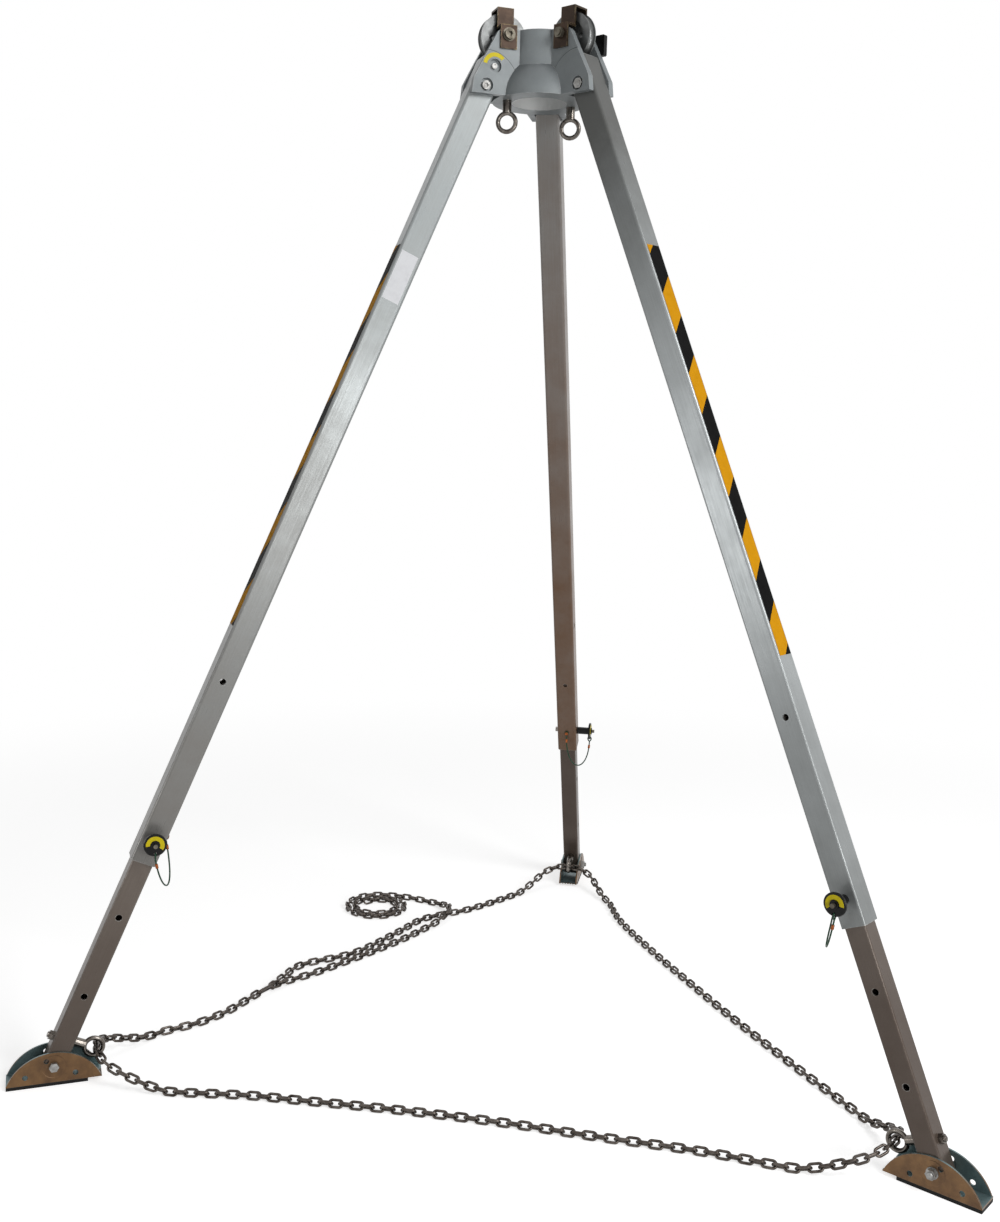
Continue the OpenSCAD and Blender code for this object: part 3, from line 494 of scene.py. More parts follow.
def blend(tree, share, first, second):
    """Two colours mixed by a share."""
    node = add(tree, "ShaderNodeMix", {0: share, 6: first, 7: second}, data_type="RGBA")
    return node.outputs[2]


def opaque(value):
    """A colour with full cover, for a shader socket."""
    return (*value[:3], 1.0)


def new_group(name, inputs, outputs):
    """An empty node group with named sockets. Inputs give kind and default, outputs give kind."""
    tree = bpy.data.node_groups.new(name, "ShaderNodeTree")
    for key, (kind, default) in inputs.items():
        socket = tree.interface.new_socket(name=key, in_out="INPUT", socket_type=kind)
        if default is not None:
            socket.default_value = default
    for key, kind in outputs.items():
        tree.interface.new_socket(name=key, in_out="OUTPUT", socket_type=kind)
    return tree, tree.nodes.new("NodeGroupInput").outputs, tree.nodes.new("NodeGroupOutput").inputs


def speckle_group():
    """Cloudy speckle: noise at a scale, cut to the part between a low and a high level."""
    tree, inside, outside = new_group(
        "Speckle",
        {"Vector": (VECTOR, None), "Scale": (VALUE, 40.0), "Low": (VALUE, 0.4), "High": (VALUE, 0.65)},
        {"Mask": VALUE},
    )
    noise = add(
        tree,
        "ShaderNodeTexNoise",
        {"Vector": inside["Vector"], "Scale": inside["Scale"], "Detail": 5.0, "Roughness": 0.62},
    )
    tree.links.new(ramp(tree, noise.outputs["Fac"], inside["Low"], inside["High"]), outside["Mask"])


def drawn_group():
    """Drawn lines: noise on a place that is squeezed along one direction, so that its specks stretch into
    lines along it."""
    tree, inside, outside = new_group(
        "Drawn lines",
        {
            "Vector": (VECTOR, None),
            "Along": (VECTOR, (0.0, 0.0, 1.0)),
            "Scale": (VALUE, 900.0),
            "Squeeze": (VALUE, 0.985),
        },
        {"Mask": VALUE},
    )
    travel = part_along(tree, inside["Vector"], inside["Along"])
    squeeze = times(tree, travel, inside["Squeeze"])
    taken = add(
        tree, "ShaderNodeVectorMath", {0: inside["Along"], "Scale": squeeze}, operation="SCALE"
    ).outputs["Vector"]
    place = vectors(tree, "SUBTRACT", inside["Vector"], taken)
    noise = add(tree, "ShaderNodeTexNoise", {"Vector": place, "Scale": inside["Scale"], "Detail": 3.0})
    tree.links.new(ramp(tree, noise.outputs["Fac"], 0.32, 0.68), outside["Mask"])


def edge_group():
    """Rubbed edges: where the normal of a rounded copy of the shape leaves the true normal, broken up by
    noise."""
    tree, inside, outside = new_group(
        "Rubbed edge",
        {"Vector": (VECTOR, None), "Radius": (VALUE, 0.0015), "Reach": (VALUE, 0.06)},
        {"Mask": VALUE},
    )
    rounded = add(tree, "ShaderNodeBevel", {"Radius": inside["Radius"]}, samples=4)
    true = tree.nodes.new("ShaderNodeNewGeometry")
    match = part_along(tree, rounded.outputs["Normal"], true.outputs["Normal"])
    leave = maths(tree, "SUBTRACT", 1.0, match)
    edge = ramp(tree, leave, 0.004, inside["Reach"])
    noise = add(tree, "ShaderNodeTexNoise", {"Vector": inside["Vector"], "Scale": 160.0, "Detail": 4.0})
    broken = ramp(tree, noise.outputs["Fac"], 0.38, 0.62)
    tree.links.new(times(tree, edge, broken), outside["Mask"])


def leg_group():
    """A place in a leg's own directions: the part of the way from an origin along each of three axes."""
    tree, inside, outside = new_group(
        "Leg place",
        {
            "Vector": (VECTOR, None),
            "Origin": (VECTOR, None),
            "Out axis": (VECTOR, None),
            "Side axis": (VECTOR, None),
            "Down axis": (VECTOR, None),
        },
        {"Out": VALUE, "Side": VALUE, "Down": VALUE},
    )
    way = vectors(tree, "SUBTRACT", inside["Vector"], inside["Origin"])
    for key in ("Out", "Side", "Down"):
        tree.links.new(part_along(tree, way, inside[key + " axis"]), outside[key])


def band_group():
    """Slanted bands: the way down the tape plus its slant times the way across, taken round and round in
    steps of two bands, is nought in the first half of each step and one in the second."""
    tree, inside, outside = new_group(
        "Slanted bands",
        {"Side": (VALUE, 0.0), "Down": (VALUE, 0.0), "Band": (VALUE, 0.08), "Slant": (VALUE, 1.0)},
        {"Mask": VALUE},
    )
    blur = 0.0002
    way = maths(tree, "ADD", inside["Down"], times(tree, inside["Side"], inside["Slant"]))
    step = maths(tree, "FLOORED_MODULO", way, times(tree, inside["Band"], 2.0))
    edge = maths(tree, "SUBTRACT", step, inside["Band"])
    tree.links.new(ramp(tree, edge, -blur, blur), outside["Mask"])


def make_groups():
    """All shared effects, made once."""
    for build in (speckle_group, drawn_group, edge_group, leg_group, band_group):
        build()


def effect(tree, name, **inputs):
    """One shared effect placed in a material, with its own values. Underscores in a key are spaces."""
    node = add(tree, "ShaderNodeGroup", node_tree=bpy.data.node_groups[name])
    for key, value in inputs.items():
        feed(tree, node.inputs[key.replace("_", " ")], value)
    return node.outputs


def speckle(tree, place, scale, low, high):
    """The mask of the Speckle effect."""
    return effect(tree, "Speckle", Vector=place, Scale=scale, Low=low, High=high)["Mask"]


def rubbed(tree, place, radius, amount):
    """The mask of the Rubbed edge effect, thinned to an amount."""
    mask = effect(tree, "Rubbed edge", Vector=place, Radius=radius)["Mask"]
    return times(tree, mask, amount)


def leg_place(tree, place, leg_frame, origin=None, upright=False):
    """The Leg place effect with one leg's axes, from its pivot bolt or another origin. Upright keeps out
    level and down vertical, as on the head and on a flat foot."""
    start = leg_frame.pivot if origin is None else origin
    out = leg_frame.away if upright else leg_frame.out
    down = -UP if upright else leg_frame.down
    return effect(
        tree,
        "Leg place",
        Vector=place,
        Origin=tuple(start),
        Out_axis=tuple(out),
        Side_axis=tuple(leg_frame.along),
        Down_axis=tuple(down),
    )


def off_bolt(tree, where):
    """How far a place in a leg's directions lies from a bolt along the side axis: the length of its two
    other parts."""
    across = add(tree, "ShaderNodeCombineXYZ", {"X": where["Out"], "Y": where["Down"]})
    return vectors(tree, "LENGTH", across.outputs["Vector"])


def new_finish(name, **fixed):
    """A material with one Principled shader. Fixed values are set on the shader's own sockets. Gives the
    material, its tree, its shader and the Object coordinates."""
    material = bpy.data.materials.new(name)
    material.use_nodes = True
    tree = material.node_tree
    shader = tree.nodes["Principled BSDF"]
    for key, value in fixed.items():
        shader.inputs[key.replace("_", " ")].default_value = value
    place = tree.nodes.new("ShaderNodeTexCoord").outputs["Object"]
    return material, tree, shader, place


def surface(tree, shader, base, roughness):
    """Links a finish's colour and roughness to its shader."""
    tree.links.new(base, shader.inputs["Base Color"])
    tree.links.new(roughness, shader.inputs["Roughness"])


def relief(tree, shader, height, depth, strength=1.0):
    """Bump from a height of 0 to 1, as deep as depth in metres."""
    bump = add(tree, "ShaderNodeBump", {"Height": height, "Distance": depth, "Strength": strength})
    tree.links.new(bump.outputs["Normal"], shader.inputs["Normal"])


def true_normal(tree):
    """The surface's own direction."""
    return tree.nodes.new("ShaderNodeNewGeometry").outputs["Normal"]


# Finishes


def tube_finish(name, leg_frame, pale, dull, edge, dusty):
    """Drawn aluminium: fine lines along the tube, clouds of handling, darkening that grows down the leg
    (dust, and painted shade standing in for darker reflections), painted shade beside the head, bright
    edges. Dusty holds where that darkening begins and is thickest, and the share of painted shade beside the
    head."""
    material, tree, shader, place = new_finish(name, Metallic=0.3, Specular_IOR_Level=0.3)
    darken_from, darken_to, head_shade_share = dusty
    down = leg_place(tree, place, leg_frame)["Down"]
    lines = effect(tree, "Drawn lines", Vector=place, Along=tuple(leg_frame.down), Scale=700.0)["Mask"]
    clouds = speckle(tree, place, scale=9.0, low=0.3, high=0.72)
    # Darker down the leg: dust, and painted shade standing in for darker reflections
    low_dust_and_shade = ramp(tree, down, darken_from, darken_to, end=0.8)
    # Painted shade: the tube is darker beside the head and lighter further down
    head_shade = ramp(tree, down, *HEAD_SHADE, start=head_shade_share, end=0.0)
    dust = maths(tree, "MAXIMUM", low_dust_and_shade, head_shade)
    handled = times(tree, clouds, 0.22)
    ground = blend(tree, maths(tree, "ADD", dust, handled, clamp=True), opaque(pale), opaque(dull))
    streaked = blend(tree, times(tree, lines, 0.16), ground, opaque(dull))
    whole = blend(tree, rubbed(tree, place, radius=0.0022, amount=0.55), streaked, opaque(edge))
    gloss = spread(tree, clouds, 0.28, 0.4)
    surface(tree, shader, whole, times(tree, gloss, spread(tree, lines, 0.88, 1.06)))
    relief(tree, shader, lines, depth=0.00004)
    return material


def tape_finish(name, leg, leg_frame, finish):
    """Hazard tape: slanted bands, grime along the two long edges, a faint woven grain."""
    material, tree, shader, place = new_finish(name, Specular_IOR_Level=0.05)
    where = leg_place(tree, place, leg_frame, origin=leg_frame.pivot + leg_frame.down * leg.tape_station)
    bands = effect(
        tree,
        "Slanted bands",
        Side=where["Side"],
        Down=where["Down"],
        Band=leg.tape_length / leg.tape_bands,
        Slant=leg.tape_slant,
    )["Mask"]
    ground = blend(tree, bands, opaque(finish.tape_black), opaque(finish.tape))
    grime = speckle(tree, place, scale=55.0, low=0.45, high=0.8)
    half = leg.tape_width / 2
    edge = ramp(tree, unsigned(tree, where["Side"]), half - leg.tape_grime, half)
    dirt = maths(tree, "ADD", times(tree, grime, 0.12), times(tree, edge, 0.15))
    whole = blend(tree, dirt, ground, opaque(finish.rubber))
    surface(tree, shader, whole, spread(tree, grime, 0.62, 0.8))
    weave = speckle(tree, place, scale=900.0, low=0.35, high=0.65)
    relief(tree, shader, weave, depth=0.00005)
    return material


def pad_shade_lines(tree, place, normal, head, leg_frames):
    """A mask of thin painted shade lines round the raised pads: where a place is as far from a pivot bolt as
    the pad's edge, close to the plane of the pad's face, on faces that look along the bolt."""
    shade_line_middle = head.pad_radius + 0.4 * head.line_width
    face_near, face_far = 0.002, 0.0025
    lines = 0.0
    for leg_frame in leg_frames:
        where = leg_place(tree, place, leg_frame, upright=True)
        off = unsigned(tree, maths(tree, "SUBTRACT", off_bolt(tree, where), shade_line_middle))
        ring = ramp(tree, off, 0.25 * head.line_width, 0.5 * head.line_width, 1.0, 0.0)
        depth = maths(tree, "SUBTRACT", unsigned(tree, where["Side"]), head.pad_face)
        at_face = ramp(tree, unsigned(tree, depth), face_near, face_far, 1.0, 0.0)
        facing = unsigned(tree, part_along(tree, normal, tuple(leg_frame.along)))
        kept = times(tree, at_face, ramp(tree, facing, low=0.9, high=0.95))
        lines = maths(tree, "MAXIMUM", lines, times(tree, ring, kept))
    return lines


def hollow_mask(tree, place, head, leg_frames):
    """A mask of the hollow under the hub, which takes the painted light: near the centre line and under the
    hollow's roof.
    """
    roof_margin, wall_margin = 0.001, 0.0003
    height = add(tree, "ShaderNodeSeparateXYZ", {0: place}).outputs["Z"]
    roof = float(leg_frames[0].pivot[2]) + head.hollow_roof
    under = ramp(tree, height, roof + roof_margin, roof + 2 * roof_margin, 1.0, 0.0)
    reach = vectors(tree, "LENGTH", vectors(tree, "MULTIPLY", place, (1.0, 1.0, 0.0)))
    wall = head.hollow_radius + wall_margin
    return times(tree, under, ramp(tree, reach, wall, wall + wall_margin, 1.0, 0.0))


def paint_finish(name, head, leg_frames, finish):
    """Sprayed paint on a casting: orange peel, painted shade on faces that look up, painted light in the
    hollow, painted shade lines along the edges of the raised pads, edges rubbed bright away from those
    lines."""
    material, tree, shader, place = new_finish(name, Metallic=0.06, Specular_IOR_Level=0.28)
    normal = true_normal(tree)
    clouds = speckle(tree, place, scale=24.0, low=0.36, high=0.74)
    grain = speckle(tree, place, scale=520.0, low=0.35, high=0.65)
    share = maths(tree, "ADD", times(tree, clouds, 0.42), times(tree, grain, 0.1))
    ground = blend(tree, share, opaque(finish.paint), opaque(finish.paint_dull))
    # Painted shade: faces that look up are darker
    dust = ramp(tree, part_along(tree, normal, tuple(UP)), low=0.1, high=0.7, end=0.75)
    dusty = blend(tree, dust, ground, opaque(finish.paint_top_shade))
    # Painted light: the hollow is painted near white
    hollow = hollow_mask(tree, place, head, leg_frames)
    lit = blend(tree, hollow, dusty, opaque(finish.paint_bounce_light))
    # Painted shade: a dark line round the edge of each raised pad, with no rubbed bright edge on it
    lines = pad_shade_lines(tree, place, normal, head, leg_frames)
    edge_shaded = blend(tree, times(tree, lines, 0.8), lit, opaque(finish.paint_edge_shade))
    clean = maths(tree, "SUBTRACT", 1.0, lines)
    bare = times(tree, rubbed(tree, place, radius=0.0018, amount=0.5), clean)
    whole = blend(tree, bare, edge_shaded, opaque(finish.bare_edge))
    surface(tree, shader, whole, spread(tree, clouds, 0.34, 0.5))
    relief(tree, shader, grain, depth=0.00012, strength=0.6)
    return material


def metal_finish(key, finish):
    """Bare or plated metal from its row in METALS: clouds between two colours, a fine grain, gloss that
    follows the clouds and, if its colour is given, rubbed edges."""
    look = METALS[key]
    material, tree, shader, place = new_finish(look["name"], Metallic=look["metallic"])
    clouds = speckle(tree, place, scale=look["scale"], low=0.34, high=0.7)
    grain = speckle(tree, place, scale=1400.0, low=0.3, high=0.7)
    share = maths(tree, "ADD", times(tree, clouds, 0.8), times(tree, grain, 0.12))
    whole = blend(tree, share, opaque(getattr(finish, key)), opaque(getattr(finish, key + "_dark")))
    edge = getattr(finish, key + "_edge", None)
    if edge is not None:
        whole = blend(tree, rubbed(tree, place, radius=0.0016, amount=0.8), whole, opaque(edge))
    surface(tree, shader, whole, ramp(tree, share, 0.0, 0.9, look["smooth"], look["rough"]))
    relief(tree, shader, grain, depth=0.00003)
    return material


def plate_finish(name, leg, leg_frame, finish):
    """Yellow zinc on a foot channel: brown clouds outside, a blue green cast on faces that look inwards or
    up, a shallow pressed ring round the bolt and bright edges."""
    material, tree, shader, place = new_finish(name, Metallic=0.6)
    where = leg_place(tree, place, leg_frame, origin=leg_frame.foot, upright=True)
    normal = true_normal(tree)
    facing = part_along(tree, normal, tuple(leg_frame.along))
    upward = ramp(tree, part_along(tree, normal, tuple(UP)), low=0.7, high=0.95)
    inward = ramp(tree, times(tree, facing, where["Side"]), low=0.0, high=-0.004)
    hidden = maths(tree, "MAXIMUM", inward, upward)
    clouds = speckle(tree, place, scale=26.0, low=0.32, high=0.7)
    outside = blend(tree, clouds, opaque(finish.zinc), opaque(finish.zinc_brown))
    shaded_teal = tuple(0.5 * part for part in finish.zinc_teal)
    inside = blend(tree, clouds, opaque(finish.zinc_teal), opaque(shaded_teal))
    ground = blend(tree, hidden, outside, inside)
    whole = blend(tree, rubbed(tree, place, radius=0.0014, amount=0.6), ground, opaque(finish.steel))
    surface(tree, shader, whole, spread(tree, clouds, 0.28, 0.46))
    ring_end = leg.press_radius + leg.press_width
    pressed = ramp(tree, off_bolt(tree, where), leg.press_radius, ring_end, smooth=True)
    grain = speckle(tree, place, scale=900.0, low=0.3, high=0.7)
    relief(tree, shader, maths(tree, "ADD", pressed, times(tree, grain, 0.08)), leg.press_depth)
    return material


def moulded_finish(name, finish):
    """Moulded plastic, rubber or a printed film from its row in MOULDINGS: two close colours in clouds, a
    fine grain, rubbed edges."""
    look = MOULDINGS[name]
    new, worn = getattr(finish, look["tone"]), getattr(finish, look["tone"] + "_worn")
    material, tree, shader, place = new_finish(name, Specular_IOR_Level=0.18)
    clouds = speckle(tree, place, scale=70.0, low=0.42, high=0.78)
    grain = speckle(tree, place, scale=look["scale"], low=0.35, high=0.65)
    rub = rubbed(tree, place, radius=0.0012, amount=0.5)
    share = maths(tree, "ADD", times(tree, clouds, 0.4), rub, clamp=True)
    whole = blend(tree, share, opaque(new), opaque(worn))
    surface(tree, shader, whole, spread(tree, clouds, look["smooth"], look["rough"]))
    relief(tree, shader, grain, look["depth"])
    return material


def wire_finish(lanyard, finish):
    """Plastic over twisted strands: a wave that climbs round the wire, from its own UV map, in colour and
    relief."""
    name = "Green coated wire"
    material, tree, shader, place = new_finish(name, Coat_Weight=0.08, Specular_IOR_Level=0.2)
    uv = add(tree, "ShaderNodeUVMap", uv_map="UVMap").outputs["UV"]
    parts = add(tree, "ShaderNodeSeparateXYZ", {0: uv}).outputs
    round_wire = times(tree, parts["X"], float(lanyard.strands))
    climb = maths(tree, "ADD", round_wire, times(tree, parts["Y"], lanyard.twist))
    wave = maths(tree, "SINE", times(tree, climb, 2 * math.pi))
    strand = ramp(tree, wave, -1.0, 1.0)
    dust = speckle(tree, place, scale=200.0, low=0.4, high=0.7)
    ground = blend(tree, strand, opaque(finish.wire_dark), opaque(finish.wire))
    whole = blend(tree, times(tree, dust, 0.12), ground, opaque(finish.tube_dull))
    surface(tree, shader, whole, spread(tree, dust, 0.3, 0.5))
    relief(tree, shader, strand, depth=0.00012)
    return material


def coat(material, *names):
    """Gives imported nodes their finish."""
    for name in names:
        slots = NODES[name].data.materials
        slots.clear()
        slots.append(material)


def dress(piece, material, body):
    """Gives a new piece its finish and the body that it rides on."""
    piece.data.materials.append(material)
    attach(piece, body)


# Small pieces


class LanyardPlaces:
    """A lanyard's fixed places about its pin, as out, sideways and up the leg: the middles of its two end
    loops, the wire's two ends, and the direction straight down."""

    def __init__(self, lanyard, leg_frame):
        self.down = leg_frame.pin_axes @ -UP
        knob_middle = SIDEWAYS * (lanyard.knob_face - lanyard.knob_thickness / 2)
        drop = lanyard.ring_radius + lanyard.ring_gap
        self.knob_eye = knob_middle + (lanyard.hole_reach + lanyard.ring_radius) * self.down
        self.rivet_eye = np.array([-lanyard.tube_half - lanyard.rivet_gap, 0.0, lanyard.rivet_rise])
        self.wire_from = self.knob_eye + drop * self.down
        self.wire_to = self.rivet_eye - np.array([lanyard.rivet_lift, 0.0, drop])
        self.rivet_seat = np.array([-lanyard.tube_half, 0.0, lanyard.rivet_rise])


def wire_route(lanyard, places):
    """The wire's line: from end to end, slow at both ends and quick between them, plus a parabola of the
    sag straight down, plus a half sine of the bow inwards from the leg."""
    share = np.linspace(0, 1, 4 * lanyard.steps + 1)[:, None]
    line = places.wire_from + share * share * (3 - 2 * share) * (places.wire_to - places.wire_from)
    hang = 4 * share * (1 - share) * lanyard.sag * places.down
    bow = np.sin(np.pi * share) * np.array([-lanyard.bow, 0.0, 0.0])
    return line + hang + bow


def loop_route(middle, tip, radius):
    """A closed end loop like a drop: the way towards the tip follows a stretched cosine, the width follows
    a sine that is pinched towards the tip."""
    stretch, points = 1.15, 40
    turn = np.linspace(0, 2 * np.pi, points, endpoint=False)[:, None]
    pinch = np.sqrt(np.abs(np.sin(turn / 2)))
    return middle + radius * (stretch * np.cos(turn) * tip + np.sin(turn) * pinch * SIDEWAYS)


def sleeve(name, start, way, lanyard):
    """A crimped ferrule: a turned sleeve whose radius falls off at its ends with a high power of the way
    from the middle, pressed flatter on two sides at two waists, each a bell curve along the sleeve."""
    span, radius = lanyard.ferrule_length, lanyard.ferrule_radius
    rows, end_share, end_power = 33, 0.55, 14
    waists, waist_width, press = (0.3, 0.7), 0.09, 0.16
    share = np.linspace(0, 1, rows)
    round_off = np.sqrt(np.clip(1 - np.abs(2 * share - 1) ** end_power, 0, 1))
    profile = np.stack([share * span, radius * (end_share + (1 - end_share) * round_off)], -1)

    def pressed(distance, turn):
        """How far the two waists lie under the plain radius."""
        bells = [np.exp(-(((distance / span - waist) / waist_width) ** 2)) for waist in waists]
        return -press * radius * sum(bells) * np.cos(turn) ** 2

    return ring_mesh(name, turned(start, way, profile, COLUMNS["sleeve"], pressed))


def rivet(name, start, axis, lanyard):
    """A pop rivet: shank, flare and brim, then a low domed head whose height follows a quarter ellipse,
    with a tiny ring at its top."""
    neck, reach, shank = lanyard.rivet_neck, lanyard.rivet_radius, lanyard.rivet_shank
    brim, flare, flare_share, top = 0.0002, 0.0003, 0.94, 0.00005
    rows = 12
    turn = np.linspace(0, np.pi / 2, rows)
    dome = np.stack([neck + brim + lanyard.rivet_dome * np.sin(turn), reach * np.cos(turn) + top], -1)
    stem = np.array([[-lanyard.rivet_depth, shank], [neck - flare, shank], [neck, reach * flare_share]])
    return ring_mesh(name, turned(start, axis, np.concatenate([stem, dome]), COLUMNS["rivet"]))


def thread_end(name, start, axis, span, thread):
    """A bolt's thread: a turned rod whose radius rises and falls as a triangle wave that climbs one pitch
    each turn, with a chamfer at the free end."""
    rows_per_turn = 12
    rows = int(span / thread.pitch * rows_per_turn) + 2
    distance = np.linspace(0, span, rows)
    bevel = np.clip((span - distance) / thread.chamfer, 0, 1) - 1
    profile = np.stack([distance, thread.radius + thread.chamfer_drop * bevel], -1)

    def tooth(along, turn):
        """The triangle wave, from half a tooth under the radius to half a tooth over it."""
        climb = along / thread.pitch - turn / (2 * np.pi)
        return thread.tooth * (np.abs(2 * (climb - np.floor(climb)) - 1) - 0.5)

    return ring_mesh(name, turned(start, axis, profile, COLUMNS["thread"], tooth))


# Operators


class SCENE_OT_tripod_stage(bpy.types.Operator):
    """Sets the camera, the pale floor, the soft lamps and the white surroundings."""

    bl_idname = "scene.tripod_stage"
    bl_label = "Studio stage"

    def execute(self, context):
        stage = context.scene.tripod_stage
        self.camera(context, stage)
        self.floor(context, stage)
        self.world(context, stage)
        for key, (place, target, size) in LAMPS.items():
            lamp = self.lamp(context, key.title() + " lamp", place, target, size)
            lamp.data.energy = getattr(stage, key + "_power")
            lamp.visible_diffuse = key != "shine"
        context.scene.view_settings.view_transform = "Standard"
        return {"FINISHED"}

    def camera(self, context, stage):
        """The view's three axes come from yaw and pitch, then turn together by the roll."""
        yaw, pitch, roll = stage.camera_yaw, stage.camera_pitch, stage.camera_roll
        ahead = Vector((math.sin(yaw) * math.cos(pitch), math.cos(yaw) * math.cos(pitch), math.sin(pitch)))
        right = Vector((math.cos(yaw), -math.sin(yaw), 0))
        up = right.cross(ahead)
        across = math.cos(roll) * right + math.sin(roll) * up
        upward = math.cos(roll) * up - math.sin(roll) * right
        data = bpy.data.cameras.new("Camera")
        data.sensor_fit = "VERTICAL"
        data.sensor_height = stage.camera_height
        data.lens = stage.camera_lens
        data.clip_end = stage.camera_reach
        camera = bpy.data.objects.new("Camera", data)
        context.scene.collection.objects.link(camera)
        turn = Matrix((across, upward, -ahead)).transposed().to_4x4()
        camera.matrix_world = Matrix.Translation(stage.camera_at) @ turn
        context.scene.camera = camera

    def seen(self, tree):
        """One for what the camera, a reflection or a clear piece sees, nought for light that falls."""
        path = tree.nodes.new("ShaderNodeLightPath").outputs
        direct = maths(tree, "MAXIMUM", path["Is Camera Ray"], path["Is Glossy Ray"])
        return maths(tree, "MAXIMUM", direct, path["Is Transmission Ray"])

    def floor(self, context, stage):
        """A wide pale sheet that glows part of its white and takes the rest from the lamps, so that shadows
        stay. Away from the tripod it fades to a glow alone."""
        size = stage.floor_size
        corners = [(-size, -size, 0), (size, -size, 0), (size, size, 0), (-size, size, 0)]
        mesh = bpy.data.meshes.new("Floor")
        mesh.from_pydata(corners, [], [(0, 1, 2, 3)])
        floor = bpy.data.objects.new("Floor", mesh)
        context.scene.collection.objects.link(floor)
        fixed = {"Roughness": 1.0, "Specular_IOR_Level": 0.0, "Emission_Color": WHITE}
        material, tree, shader, place = new_finish("Pale floor", **fixed)
        reach = vectors(tree, "LENGTH", place)
        far = ramp(tree, reach, stage.fade_from, stage.fade_to, smooth=True)
        pale = opaque([stage.floor_white] * 3)
        tree.links.new(blend(tree, far, pale, BLACK), shader.inputs["Base Color"])
        glow = times(tree, self.seen(tree), spread(tree, far, stage.floor_glow, 1.0))
        tree.links.new(glow, shader.inputs["Emission Strength"])
        mesh.materials.append(material)

    def world(self, context, stage):
        """White where it is seen, and a lower level of light from all round."""
        world = bpy.data.worlds.new("Surroundings")
        world.use_nodes = True
        context.scene.world = world
        tree = world.node_tree
        ground = tree.nodes["Background"]
        ground.inputs["Color"].default_value = WHITE
        strength = spread(tree, self.seen(tree), stage.sky_level, 1.0)
        tree.links.new(strength, ground.inputs["Strength"])

    def lamp(self, context, name, place, target, size):
        """A square soft lamp that faces a target."""
        data = bpy.data.lights.new(name, "AREA")
        data.shape = "SQUARE"
        data.size = size
        lamp = bpy.data.objects.new(name, data)
        lamp.location = place
        lamp.rotation_mode = "QUATERNION"
        lamp.rotation_quaternion = (Vector(target) - Vector(place)).to_track_quat("-Z", "Y")
        context.scene.collection.objects.link(lamp)
        return lamp


class SCENE_OT_tripod_lanyards(bpy.types.Operator):
    """Hangs the three coated wires with their loops, ferrules and rivets."""

    bl_idname = "scene.tripod_lanyards"
    bl_label = "Lanyards"

    def execute(self, context):
        scene = context.scene
        leg, lanyard, finish = scene.tripod_leg, scene.tripod_lanyard, scene.tripod_finish
        green = wire_finish(lanyard, finish)
        copper = metal_finish("copper", finish)
        for side in LEGS:
            self.hang(side, LegFrame(leg, side), lanyard, green, copper)
        return {"FINISHED"}

    def hang(self, side, leg_frame, lanyard, green, copper):
        """One lanyard: the wire hangs between leg and pin, and its end pieces go with leg or pin."""
        places = LanyardPlaces(lanyard, leg_frame)
        path = leg_frame.at_pin(wire_route(lanyard, places))
        wire = ring_mesh("lanyard_wire_" + side, around(path, lanyard.wire_radius, COLUMNS["wire"]))
        wire.data.materials.append(green)
        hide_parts("lanyard_" + side)
        knob_line = leg_frame.at_pin(loop_route(places.knob_eye, places.down, lanyard.ring_radius))
        leg_line = leg_frame.at_pin(loop_route(places.rivet_eye, -UP, lanyard.rivet_ring))
        loops = [
            self.loop("lanyard_knob_loop_" + side, knob_line, lanyard, green, "pin_" + side),
            self.loop("lanyard_leg_loop_" + side, leg_line, lanyard, green, "leg_" + side),
        ]
        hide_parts("lanyard_" + side)
        sleeves = [
            self.ferrule("lanyard_knob_ferrule_" + side, path, lanyard, copper, "pin_" + side),
            self.ferrule("lanyard_leg_ferrule_" + side, path[::-1], lanyard, copper, "leg_" + side),
        ]
        seat = leg_frame.at_pin(places.rivet_seat)
        stud = rivet("lanyard_rivet_" + side, seat, -leg_frame.out, lanyard)
        dress(stud, copper, "leg_" + side)
        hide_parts("lanyard_crimps_" + side)
        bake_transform(wire)

    def loop(self, name, line, lanyard, green, body):
        """A closed end loop that rides on the body at its end of the wire."""
        rings = around(line, lanyard.wire_radius, COLUMNS["loop"], close=True)
        piece = ring_mesh(name, rings, close=True)
        dress(piece, green, body)
        return piece

    def ferrule(self, name, line, lanyard, copper, body):
        """A ferrule a few points along a line, in the line's direction there."""
        near, far = lanyard.ferrule_point, 2 * lanyard.ferrule_point
        piece = sleeve(name, line[near], line[far] - line[near], lanyard)
        dress(piece, copper, body)
        return piece


class SCENE_OT_tripod_tubes(bpy.types.Operator):
    """Finishes the outer and inner tubes, their hazard tape and the blank label."""

    bl_idname = "scene.tripod_tubes"
    bl_label = "Tubes and tape"

    def execute(self, context):
        scene = context.scene
        leg, finish = scene.tripod_leg, scene.tripod_finish
        bright = finish.bare_edge
        # Painted light and shade: the right leg takes a lit clean colour and a shaded grey in place of the
        # plain ones
        outer_tones = {
            "left": (finish.tube_pale, finish.tube_dull, bright),
            "right": (finish.tube_lit, finish.tube_shade_grey, bright),
            "back": (finish.tube_pale, finish.tube_brown, bright),
        }
        inner_tones = (finish.inner_pale, finish.inner_dull, bright)
        for side in LEGS:
            leg_frame = LegFrame(leg, side)
            outer = tube_finish("Drawn aluminium " + side, leg_frame, *outer_tones[side], OUTER_DUST_AND_SHADE[side])
            inner = tube_finish("Inner tube " + side, leg_frame, *inner_tones, INNER_DUST_AND_SHADE[side])
            coat(outer, "outer_tube_" + side)
            coat(inner, "inner_tube_" + side)
            coat(tape_finish("Hazard tape " + side, leg, leg_frame, finish), "hazard_tape_" + side)
        coat(moulded_finish("Blank label", finish), "blank_label_left")
        return {"FINISHED"}


